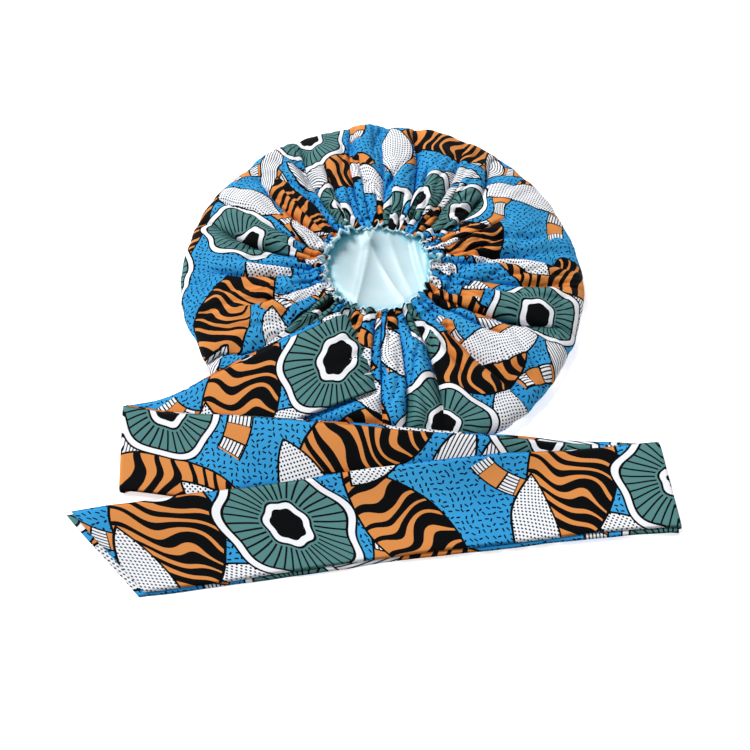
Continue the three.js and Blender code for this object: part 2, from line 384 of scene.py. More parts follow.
@dataclass(frozen=True)
class StripedLeaf(Leaf):
    """An orange oval with wavy ink stripes that taper across it.

    Attributes:
        pitch: From stripe to stripe.
        wave: How fast a stripe waves, in radians for each millimetre.
        wave_size: How far it waves aside.
        drift: How fast it strays, in turns for each millimetre.
        drift_size: How far it strays aside.
        half_stripe: Half a stripe's share of the pitch, at the oval's middle line.
        taper: How much of that it gains across the oval.
    """

    pitch: float = 13.0
    wave: float = 0.11
    wave_size: float = 2.6
    drift: float = 0.028
    drift_size: float = 26.0
    half_stripe: float = 0.27
    taper: float = 0.3

    def fill(self, graph: Graph, local: Socket) -> Socket:
        """Orange with ink stripes."""
        x, y = (graph.add("SeparateXYZ", local, output=axis) for axis in (0, 1))
        wave = graph.add("Math.SINE", graph.add("Math.MULTIPLY", y, self.wave))
        noise = {"noise_dimensions": "2D", "Vector": local, "Scale": self.drift, "Detail": 0.0}
        drift = graph.add("TexNoise", **noise)
        moved = graph.add("Math.MULTIPLY_ADD", wave, self.wave_size, x)
        drifted = graph.add("Math.MULTIPLY_ADD", drift, self.drift_size, moved)
        beside = graph.off_middle(graph.add("Math.DIVIDE", drifted, self.pitch))
        half = graph.add("Math.MULTIPLY_ADD", y, self.taper / self.breadth, self.half_stripe)
        return graph.add("Mix", graph.add("Math.LESS_THAN", beside, half), Dye.ORANGE, Dye.INK)


@dataclass(frozen=True)
class WhiteLeaf(Leaf):
    """A white oval filled with fine ink dots or a fine ink hatch.

    Attributes:
        filling: Which of the two.
        pitch: From mark to mark.
        dot: A dot's radius as a share of the pitch.
        stroke: A stroke's breadth as a share of the pitch.
    """

    filling: Filling = Filling.DOTS
    pitch: float = 3.0
    dot: float = 0.27
    stroke: float = 0.34

    def fill(self, graph: Graph, local: Socket) -> Socket:
        """White with dots or a hatch."""
        if self.filling is Filling.DOTS:
            grid = {"voronoi_dimensions": "2D", "Vector": local, "Scale": 1 / self.pitch, "Randomness": 0.0}
            mark = graph.add("Math.LESS_THAN", graph.add("TexVoronoi", output="Distance", **grid), self.dot)
        else:
            y = graph.add("SeparateXYZ", local, output=1)
            part = graph.add("Math.FRACT", graph.add("Math.DIVIDE", y, self.pitch))
            mark = graph.add("Math.LESS_THAN", part, self.stroke)
        return graph.add("Mix", mark, Dye.CHALK, Dye.INK)


@dataclass(frozen=True)
class Ladder(Motif):
    """A curved band of orange blocks and white, hatched rungs, round the motif's middle.

    Attributes:
        radius: To the band's middle line.
        breadth: Across the band.
        spread: How far the band runs to each side, in degrees.
        pitch: From block to block.
        block: A block's share of the pitch.
        stroke: A stroke's share of the hatch's pitch.
    """

    radius: float
    breadth: float = 23.0
    spread: float = 60.0
    pitch: float = 27.0
    block: float = 0.58
    hatch_pitch: float = 3.2
    stroke: float = 0.36
    line: float = 1.5

    def draw(self, graph: Graph, local: Socket) -> tuple[Socket, Socket]:
        """Draws the band: its blocks and rungs, and the ink lines round them."""
        out, angle = graph.polar(local)
        part = graph.add("Math.FRACT", graph.add("Math.MULTIPLY", angle, self.radius / self.pitch))
        fine = graph.add("Math.FRACT", graph.add("Math.DIVIDE", out, self.hatch_pitch))
        hatch = graph.add("Mix", graph.add("Math.LESS_THAN", fine, self.stroke), Dye.CHALK, Dye.INK)
        rung = graph.add("Math.GREATER_THAN", part, self.block)
        colour = graph.add("Mix", rung, Dye.ORANGE, hatch)
        beside = graph.add("Math.ABSOLUTE", graph.add("Math.SUBTRACT", out, self.radius))
        ink = graph.add("Math.GREATER_THAN", beside, self.breadth / 2 - self.line)
        for seam in (self.block, 0.0):
            line = graph.add("Math.COMPARE", part, seam, self.line / self.pitch / 2)
            ink = graph.add("Math.MAXIMUM", ink, line)
        within = graph.add("Math.LESS_THAN", beside, self.breadth / 2)
        swept = graph.add("Math.COMPARE", angle, 0.0, math.radians(self.spread))
        return graph.add("Math.MULTIPLY", within, swept), graph.add("Mix", ink, colour, Dye.INK)


MOTIFS = [
    Ladder(66, 70, 140, 74, spread=62),
    Ladder(236, 196, -35, 68, spread=70),
    Ladder(168, 300, 80, 64, spread=55, breadth=20),
    Ladder(120, 150, 30, 46, spread=70, breadth=18, pitch=22),
    Ladder(10, 230, 10, 52, spread=75, breadth=20, pitch=22),
    WhiteLeaf(196, 236, 100, 96, 44, filling=Filling.HATCH),
    WhiteLeaf(112, 118, -35, 92, 38),
    StripedLeaf(156, 62, 62, 168, 74),
    StripedLeaf(302, 92, 112, 156, 66),
    StripedLeaf(92, 200, -28, 164, 66),
    StripedLeaf(246, 270, 12, 140, 56),
    WhiteLeaf(28, 262, 70, 96, 44),
    WhiteLeaf(204, 112, 75, 124, 42),
    WhiteLeaf(24, 146, 20, 120, 42),
    WhiteLeaf(150, 236, -60, 110, 36, filling=Filling.HATCH),
    WhiteLeaf(290, 8, 40, 112, 40),
    WhiteLeaf(170, 170, 5, 84, 30, filling=Filling.HATCH),
    Rosette(66, 70, 20, 55),
    Rosette(236, 196, 50, 49, ribs=34, lobes=6),
    Rosette(150, -8, 10, 42, ribs=30, lobes=5),
]


@dataclass(frozen=True)
class Finish:
    """A cloth's finish, laid out on the flat cut cloth.

    Attributes:
        name: The cloth's common name.
        thread: From thread to thread of the weave.
        weave_height: How high the weave stands.
        weave_strength: How strongly it tilts the light.
        painted_shade_reach: How near other cloth must be for the painted shade to darken the colour.
    """

    name: str
    thread: float
    weave_height: float
    weave_strength: float
    roughness: float
    specular: float
    sheen: float
    painted_shade_reach: float
    light_samples: int = 8

    def material(self) -> bpy.types.Material:
        """Makes the material."""
        made = bpy.data.materials.new(self.name)
        made.use_nodes = True
        graph = Graph(made.node_tree)
        shader = made.node_tree.nodes["Principled BSDF"]
        place = graph.add("UVMap", uv_map="cut")
        cloth = graph.add("VectorMath.SCALE", place, Scale=1 / METRES)
        # Ambient occlusion: how open each place is to light, from which the colour's painted shade in folds
        # is made.
        near = {"samples": self.light_samples, "Distance": self.painted_shade_reach * METRES}
        light = graph.add("AmbientOcclusion", output="AO", **near)
        made.node_tree.links.new(self.colour(graph, cloth, light), shader.inputs["Base Color"])
        depth = {"Distance": self.weave_height * METRES, "Strength": self.weave_strength}
        bump = graph.add("Bump", Height=self.weave(graph, cloth), **depth)
        made.node_tree.links.new(bump, shader.inputs["Normal"])
        shader.inputs["Roughness"].default_value = self.roughness
        shader.inputs["Specular IOR Level"].default_value = self.specular
        shader.inputs["Sheen Weight"].default_value = self.sheen
        return made

    def colour(self, graph: Graph, cloth: Socket, light: Socket) -> Socket:
        """The cloth's colour, with painted shade in its folds.

        Args:
            graph: The finish's nodes.
            cloth: The place on the cut cloth.
            light: How open the place is to light, 0 deep in a fold and 1 out in the open, for the painted
                shade.

        Returns:
            The colour.
        """
        raise NotImplementedError

    def weave(self, graph: Graph, cloth: Socket) -> Socket:
        """The height of the weave."""
        raise NotImplementedError


@dataclass(frozen=True)
class PrintedCotton(Finish):
    """Plain-woven cotton, roller printed in flat bright inks.

    The flat inks with crisp ink outlines give the eye its pattern, and the weave takes the gloss off.
    """

    name: str = "plain-woven printed cotton"
    # Real threads lie about 0.25 mm apart. They are drawn at 0.8 mm, the finest that shows.
    thread: float = 0.8
    weave_height: float = 0.05
    weave_strength: float = 0.7
    roughness: float = 0.88
    specular: float = 0.09
    sheen: float = 0.03
    # How near other cloth must be, and how strongly the print is then darkened, for the painted shade in
    # folds.
    painted_shade_reach: float = 14.0
    painted_shade_depth: float = 0.85
    dash_pitch: float = 5.1
    dash_length: float = 3.3
    dash_width: float = 1.35
    dash_scatter: float = 0.42
    cloud_scale: float = 0.012
    edge_sway: float = 11.0
    edge_sway_length: float = 70.0

    def ground(self, graph: Graph, cloth: Socket) -> Socket:
        """The blue ground with its short ink dashes."""
        cells = {"Vector": cloth, "Scale": 1 / self.dash_pitch, "Randomness": self.dash_scatter}
        middle = graph.add("TexVoronoi", output="Position", voronoi_dimensions="2D", **cells)
        away = graph.add("VectorMath.SUBTRACT", cloth, middle)
        chance = graph.add("SeparateColor", middle.node.outputs["Color"])
        angle = graph.add("Math.MULTIPLY", chance, math.tau)
        turned = graph.add("VectorRotate", rotation_type="Z_AXIS", Vector=away, Angle=angle)
        size = (2 / self.dash_length, 2 / self.dash_width, 0.0)
        sized = graph.add("VectorMath.ABSOLUTE", graph.add("VectorMath.MULTIPLY", turned, size))
        x, y = (graph.add("SeparateXYZ", sized, output=axis) for axis in (0, 1))
        dash = graph.add("Math.LESS_THAN", graph.add("Math.MAXIMUM", x, y), 1.0)
        cloud = {"noise_dimensions": "2D", "Vector": cloth, "Scale": self.cloud_scale, "Detail": 2.0}
        blue = graph.add("Mix", graph.add("TexNoise", **cloud), Dye.BLUE, Dye.DEEP_BLUE)
        return graph.add("Mix", dash, blue, Dye.INK)

    def colour(self, graph: Graph, cloth: Socket, light: Socket) -> Socket:
        """The ground with all the motifs on it, whose edges sway a little, darkened by painted shade in the
        folds.
        """
        sway = {"Vector": cloth, "Scale": 1 / self.edge_sway_length, "Detail": 0.5}
        noise = graph.add("TexNoise", output="Color", noise_dimensions="2D", **sway)
        centred = graph.add("VectorMath.SUBTRACT", noise, (0.5, 0.5, 0.5))
        moved = graph.add("VectorMath.SCALE", centred, Scale=self.edge_sway)
        swayed = graph.add("VectorMath.ADD", cloth, moved)
        colour = self.ground(graph, cloth)
        for motif in MOTIFS:
            colour = motif.paint(graph, swayed, colour)
        # Painted shade: the print is darkened and deepened where other cloth lies near, as in a fold.
        painted_shade_gamma = graph.add("Math.MULTIPLY_ADD", light, -self.painted_shade_depth, 1 + self.painted_shade_depth)
        return graph.add("Gamma", colour, painted_shade_gamma)

    def weave(self, graph: Graph, cloth: Socket) -> Socket:
        """The height of a plain weave from 0 to 1, one thread over and one under."""
        waves = []
        for axis in (0, 1):
            along = graph.add("SeparateXYZ", cloth, output=axis)
            phase = graph.add("Math.MULTIPLY", along, math.pi / self.thread)
            waves.append(graph.add("Math.SINE", phase))
        return graph.add("Math.MULTIPLY_ADD", graph.add("Math.MULTIPLY", *waves), 0.5, 0.5)


@dataclass(frozen=True)
class Satin(Finish):
    """Polyester satin, woven with long floats.

    The floats all run one way, which gives the pale cloth its soft gloss.
    """

    name: str = "polyester satin"
    # Floats of about 0.2 mm are drawn at 0.9 mm, the finest that shows.
    thread: float = 0.9
    weave_height: float = 0.02
    weave_strength: float = 0.4
    roughness: float = 0.4
    specular: float = 0.45
    sheen: float = 0.2
    # How near other cloth must be for the painted shade in folds.
    painted_shade_reach: float = 25.0
    cloud_scale: float = 0.03

    def colour(self, graph: Graph, cloth: Socket, light: Socket) -> Socket:
        """Pale aqua, a little uneven, tinted deep aqua in the folds as painted shade."""
        cloud = {"noise_dimensions": "2D", "Vector": cloth, "Scale": self.cloud_scale, "Detail": 3.0}
        aqua = graph.add("Mix", graph.add("TexNoise", **cloud), Dye.AQUA, Dye.DEEP_AQUA)
        # Painted shade: the satin is tinted towards a deep aqua where other cloth lies near, as in a fold.
        return graph.add("Mix", light, Dye.PAINTED_SHADE_AQUA, aqua)

    def weave(self, graph: Graph, cloth: Socket) -> Socket:
        """The height of the floats."""
        along = graph.add("SeparateXYZ", cloth, output=1)
        return graph.add("Math.SINE", graph.add("Math.MULTIPLY", along, math.tau / self.thread))


@dataclass(frozen=True)
class Tuck:
    """A main fold of the skirt, from the ring outwards.

    Attributes:
        azimuth: Where it meets the ring.
        lean: How far it turns on its way out, in degrees.
        depth: How far it sinks, in millimetres.
        shoulder: How far its sides slope, in millimetres.
        reach: Where it begins, 0 at the outline and 1 at the ring.
        lap: How far one side lies over the other, above 0 where the lower azimuth's side is on top.
        rim: How strongly it goes on over the rim, 0 to 1.
        bow: How far its middle bends aside, in degrees.
    """

    azimuth: float
    lean: float
    depth: float
    shoulder: float
    reach: float
    lap: float
    rim: float = 0.12
    bow: float = 0.0


TUCKS = [
    Tuck(7, -10, 6, 9, 0.05, 3.0, 0.3),
    Tuck(31, 18, 6, 10, 0.05, -3.0, 0.35),
    Tuck(51, 9, 6, 8, 0.15, 2.5),
    Tuck(69, 10, 7, 9, 0.05, -3.5, 0.3),
    Tuck(88, 2, 6, 8, 0.40, 3.0),
    Tuck(108, -7, 7, 9, 0.10, 3.0),
    Tuck(130, -11, 9, 13, 0.02, -3.0, 0.4),
    Tuck(149, -10, 7, 8, 0.10, 2.5),
    Tuck(173, -9, 10, 12, 0.02, 3.5, 0.4),
    Tuck(189, -6, 8, 9, 0.10, -3.0),
    Tuck(211, 2, 7, 8, 0.0, 7.5, 1.0, 7.0),
    Tuck(228, 3, 5, 8, 0.30, 2.0),
    Tuck(250, 2, 5, 8, 0.30, -2.0),
    Tuck(268, 2, 7, 8, 0.15, 3.0),
    Tuck(281, -5, 10, 10, 0.02, 4.0, 0.4),
    Tuck(296, -9, 8, 9, 0.08, -3.0, 0.25),
    Tuck(308, 2, 7, 9, 0.05, 3.0, 0.35),
    Tuck(327, 9, 7, 9, 0.05, -3.5, 0.35),
    Tuck(347, 4, 5, 8, 0.30, 3.0),
]


@dataclass(frozen=True)
class Creases:
    """A crowd of short creases, each a sharp valley with soft shoulders.

    Attributes:
        count: How many there are.
        seed: Which draw of them this is.
        begins: How far from the outline their middles begin, in millimetres.
        ends: How far from the outline their middles end.
        length: The shortest and longest, in millimetres.
        width: The narrowest and widest.
        depth: The shallowest and deepest.
        tilt: How far they turn from the way to the ring, in degrees.
        bend: How far they bend.
        cut_off: How many lengths from its middle a crease ends.
        shoulder_width: How much wider its shoulders are than its valley.
        shoulder_height: Their height as a share of the valley's depth.
    """

    count: int
    seed: int
    begins: float
    ends: float
    length: tuple[float, float]
    width: tuple[float, float]
    depth: tuple[float, float]
    tilt: float
    bend: float = 0.25
    cut_off: float = 2.6
    shoulder_width: float = 3.0
    shoulder_height: float = 0.45

    def height(self, azimuths: Numbers, radius: Numbers, along: Numbers) -> Numbers:
        """How far the creases lower or raise each point.

        Args:
            azimuths: The azimuth of each column on each row.
            radius: Each point's distance from the axis.
            along: How far each row lies from the outline, in millimetres.

        Returns:
            The heights, mostly below 0.
        """
        chance = np.random.default_rng(self.seed)
        total = np.zeros_like(azimuths)
        for _ in range(self.count):
            azimuth, middle = chance.uniform(0, FULL_TURN), chance.uniform(self.begins, self.ends)
            length, width, depth = (chance.uniform(*span) for span in (self.length, self.width, self.depth))
            tilt = math.radians(chance.uniform(-self.tilt, self.tilt))
            bend = chance.uniform(-self.bend, self.bend) / length
            rows = np.nonzero(np.abs(along - middle) < self.cut_off * length)[0]
            down = (along[rows] - middle)[:, None]
            side = np.radians(wrapped(azimuths[rows] - azimuth)) * radius[rows]
            lengthwise = down * math.cos(tilt) + side * math.sin(tilt)
            across = side * math.cos(tilt) - down * math.sin(tilt) + bend * lengthwise**2
            fade = np.exp(-((lengthwise / length) ** 2))
            valley = np.exp(-np.abs(across) / width)
            shoulder = np.exp(-((across / (self.shoulder_width * width)) ** 2))
            total[rows] += depth * fade * (self.shoulder_height * shoulder - valley)
        return total


SKIRT_CREASES = Creases(150, 21, 10, 104, (14, 44), (2.4, 7.0), (1.8, 6.4), 18)
RING_CREASES = Creases(380, 22, 84, 146, (4, 15), (0.9, 2.4), (1.0, 3.8), 46)


@dataclass
class Gathers:
    """Where the cloth is tucked and pleated round the opening.

    The valleys lie on columns of the mesh. A main tuck is of level 0, and the pleats between them are of
    levels 1 to 3, which begin nearer and nearer to the ring.

    Attributes:
        columns: How many columns of points go round the pouch.
        pleat_columns: How many of them a pleat takes, on average.
        hidden_slack: How much of the print shows between the valleys, 1 where only the ring's length does.
        ring_shoulder: How far a valley's sides slope at the ring.
        ring_depth: How deep a main tuck is at the ring, at most.
        opens_in: How far on in share a main tuck and a pleat are open all the way.
        print_jumps_in: The same for the jump of the print there.
        scatter: How far a pleat strays from its even place, as a share of it, and in share where it begins.
        pleat_sizes: The smallest and the largest pleat.
        pleat_laps: The smallest and the largest lap of a pleat.
        sharpness: How little a valley deepens the ones beside it.
        under_slope: How wide the side under a lap is, at the outline and at the ring, 1 for the other side.
        lip: How far behind its edge a lap stands out most, at the outline and at the ring.
        lip_lift: How far a lap lifts, as a share of how far it goes over.
        lip_ends: After how many times that distance it ends.
        rim_step: How far the rim steps out on the lapped side of a tuck, and on the other.
        rim_step_fades: How far away the step is gone, and how wide the tuck's own notch is.
        valleys: Each valley's column, level, depth, shoulder, reach, lap and rim, as in Tuck.
        lean: How far each column turns on its way out, in degrees.
        bow: How far each column's middle bends aside, in degrees.
    """

    columns: int = 600
    pleat_columns: int = 10
    seed: int = 11
    hidden_slack: float = 1.18
    level_begins: tuple[float, ...] = (0.0, 0.36, 0.55, 0.72)
    level_depths: tuple[float, ...] = (0.0, 6.0, 5.4, 4.6)
    pleat_shoulder: float = 6.0
    ring_shoulder: float = 2.6
    ring_depth: float = 7.6
    opens_in: tuple[float, float] = (0.5, 0.3)
    print_jumps_in: tuple[float, float] = (0.2, 0.22)
    scatter: tuple[float, float] = (0.22, 0.06)
    pleat_sizes: tuple[float, float] = (0.45, 1.4)
    pleat_laps: tuple[float, float] = (0.6, 1.5)
    sharpness: float = 3.0
    under_slope: tuple[float, float] = (0.45, 0.8)
    lip: tuple[float, float] = (3.2, 1.7)
    lip_lift: float = 0.18
    lip_ends: float = 5.0
    rim_step: tuple[float, float] = (2.6, -1.8)
    rim_step_fades: tuple[float, float] = (12.0, 1.5)
    valleys: np.recarray = field(init=False)
    lean: Numbers = field(init=False)
    bow: Numbers = field(init=False)

    def __post_init__(self) -> None:
        """Lays out the valleys, the same ones each time."""
        chance = np.random.default_rng(self.seed)
        step = FULL_TURN / self.columns
        mains = [round(tuck.azimuth / step) for tuck in TUCKS]
        rows = [(at, 0, t.depth, t.shoulder, t.reach, t.lap, t.rim) for at, t in zip(mains, TUCKS)]
        for start, end in zip(mains, mains[1:] + [mains[0] + self.columns]):
            parts = max(1, round((end - start) / self.pleat_columns))
            for part in range(1, parts):
                even = start + (end - start) * part / parts
                stray, late = self.scatter
                at = round(even + chance.uniform(-stray, stray) * (end - start) / parts)
                near_middle = abs(part / parts - 0.5) < 0.2
                level = 3 if part % 2 else (1 if near_middle else 2)
                size = chance.uniform(*self.pleat_sizes)
                begins = self.level_begins[level] + chance.uniform(-late, late)
                side = chance.choice([-1.0, 1.0]) * chance.uniform(*self.pleat_laps)
                deep = self.level_depths[level] * size
                rows.append((at % self.columns, level, deep, self.pleat_shoulder, begins, side, 0.0))
        names = "column,level,depth,shoulder,reach,lap,rim"
        self.valleys = np.rec.fromrecords(sorted(rows), names=names)
        around = np.arange(self.columns) * step
        azimuths = [tuck.azimuth for tuck in TUCKS]
        self.lean, self.bow = (
            np.interp(around, azimuths, [getattr(tuck, name) for tuck in TUCKS], period=FULL_TURN)
            for name in ("lean", "bow")
        )

    def azimuths(self, share: Numbers) -> Numbers:
        """The azimuth of each column on rows of these shares, 0 at the outline and 1 at the ring."""
        around = np.arange(self.columns) * FULL_TURN / self.columns
        out = np.clip(1 - share, 0, 1)[:, None]
        return around[None, :] + self.lean[None, :] * out + self.bow[None, :] * 4 * out * (1 - out)

    def shape(
        self, share: Numbers, radius: Numbers, main: Numbers, fine: Numbers, rim: Numbers
    ) -> tuple[Numbers, Numbers, Numbers]:
        """How the valleys move each point.

        Args:
            share: Each row's place, 0 at the outline and 1 at the ring.
            radius: Each point's distance from the axis.
            main: How strong the main tucks are on each row.
            fine: How strong the pleats are on each row.
            rim: How far each row takes part in the tucks that go on over the rim.

        Returns:
            How far each point sinks, moves round the axis and moves outwards, in millimetres.
        """
        azimuths = self.azimuths(share)
        sink, lap, out, lift = (np.zeros_like(radius) for _ in range(4))
        near = np.clip(share, 0, 1)[:, None] ** 2
        far = 1 - near
        for valley in self.valleys:
            ends = min(valley.reach + self.opens_in[valley.level > 0], 1.0)
            opened = smoothstep(valley.reach, ends, np.minimum(share, 1))
            over_rim = (1 - opened) * rim * valley.rim
            opened = (opened * (fine if valley.level else main) + over_rim)[:, None]
            line = azimuths[:, valley.column][:, None]
            away = np.radians(wrapped(azimuths - line)) * radius
            lapped = away * np.sign(valley.lap) < 0
            gentle = valley.shoulder * far + self.ring_shoulder * near
            steep = gentle * (self.under_slope[0] * far + self.under_slope[1] * near)
            side = np.where(lapped, steep, gentle)
            depth = valley.depth * far + min(valley.depth, self.ring_depth) * near
            sink += (depth * opened * np.exp(-np.abs(away) / side)) ** self.sharpness
            lip = np.abs(away) / (self.lip[0] * far + self.lip[1] * near)
            fold = np.where(lapped, 1, 0) * opened * lip * np.exp(1 - lip) * (lip < self.lip_ends)
            lap += valley.lap * fold
            lift += np.abs(valley.lap) * self.lip_lift * fold
            fades, notch = self.rim_step_fades
            step = np.where(lapped, *self.rim_step) * np.exp(-np.abs(away) / fades)
            out += step * over_rim[:, None] * (1 - np.exp(-np.abs(away) / notch))
        return sink ** (1 / self.sharpness) - lift, lap, out

    def cut_angles(self, share: Numbers, radius: Numbers, cloth: Numbers) -> tuple[Numbers, Numbers]:
        """Where the two sides of each strip of columns lie round the flat cut cloth, in degrees.

        The cloth between two valleys keeps its own size, and the rest is hidden in the valleys, so the
        print jumps there.

        Args:
            share: Each row's place, 0 at the outline and 1 at the ring.
            radius: Each row's mean distance from the axis.
            cloth: Each row's distance from the middle of the cut cloth.

        Returns:
            The angles at the left and right side of each strip, on each row.
        """
        left = self.azimuths(share)
        right = np.concatenate([left[:, 1:], left[:, :1] + FULL_TURN], axis=1)
        shown = np.minimum(self.hidden_slack * radius / cloth, 1)[:, None]
        offsets = np.zeros((2, *left.shape))
        for level, begins in enumerate(self.level_begins):
            ends = begins + self.print_jumps_in[level > 0]
            weight = smoothstep(begins, ends, np.minimum(share, 1))
            start, end = self.panels(level)[2:]
            edges = [left[:, at % self.columns] + at // self.columns * FULL_TURN for at in (start, end)]
            middles = (edges[0] + edges[1]) / 2
            sides = np.stack([left - middles, right - middles])
            offsets = offsets * (1 - weight)[None, :, None] + sides * weight[None, :, None]
        return left - (1 - shown) * offsets[0], right - (1 - shown) * offsets[1]

    def panels(self, level: int) -> tuple[Numbers, Numbers, Numbers, Numbers]:
        """Which panel between two valleys each column is in.

        Args:
            level: The finest level of valley that bounds a panel.

        Returns:
            The panel's number, how far across it the column is, from -1 to 1, and the columns where the
            panel starts and ends. These are below 0 or past the last column where the panel goes over.
        """
        valleys = self.valleys.column[self.valleys.level <= level]
        strips = np.arange(self.columns)
        after = np.searchsorted(valleys, strips, side="right")
        start = valleys[after - 1] - np.where(after == 0, self.columns, 0)
        end = valleys[after % len(valleys)] + np.where(after == len(valleys), self.columns, 0)
        return after % len(valleys), 2 * (strips - start) / (end - start) - 1, start, end


@dataclass(frozen=True)
class Lobe:
    """A place round the outline where something swells or dips."""

    azimuth: float
    rise: float
    width: float

    def at(self, azimuths: Numbers) -> Numbers:
        """The swell at some azimuths."""
        return self.rise * np.exp(-((wrapped(azimuths - self.azimuth) / self.width) ** 2))


OUTLINE_LOBES = [
    Lobe(20, -4, 16),
    Lobe(38, -2, 7),
    Lobe(56, -2.5, 16),
    Lobe(84, -6, 6),
    Lobe(88, 2, 30),
    Lobe(108, -4.5, 7),
    Lobe(141, -2, 8),
    Lobe(209, -5, 9),
    Lobe(306, 4.5, 14),
    Lobe(350, 0.5, 8),
]
LIP_LOBES = [
    Lobe(134, 6.0, 6),
    Lobe(149, 5.0, 5),
    Lobe(163, 5.5, 5),
    Lobe(178, 3.0, 5),
    Lobe(197, 2.5, 6),
    Lobe(222, 2.0, 7),
    Lobe(4, 4.0, 6),
    Lobe(40, 2.0, 5),
    Lobe(92, 3.0, 4),
]


@dataclass(frozen=True)
class Bow:
    """How the two long edges of a run of the strap bow from straight.

    Attributes:
        upper: How far the upper edge moves to the back at most, in millimetres.
        lower: The same for the lower edge.
        skew: Above 1 the bow is deepest past the run's middle, and below 1 before it.
        lower_power: How much shorter the lower edge's bow is.
        ends: How far along the run the bow ends.
    """

    upper: float
    lower: float
    skew: float
    lower_power: int = 1
    ends: float = 1.0

    def at(self, part: Numbers) -> tuple[Numbers, Numbers]:
        """How far the upper and the lower edge move to the back, part of the way along the run."""
        bend = np.sin(math.pi * np.minimum(part / self.ends, 1) ** self.skew)
        return self.upper * bend, self.lower * bend**self.lower_power


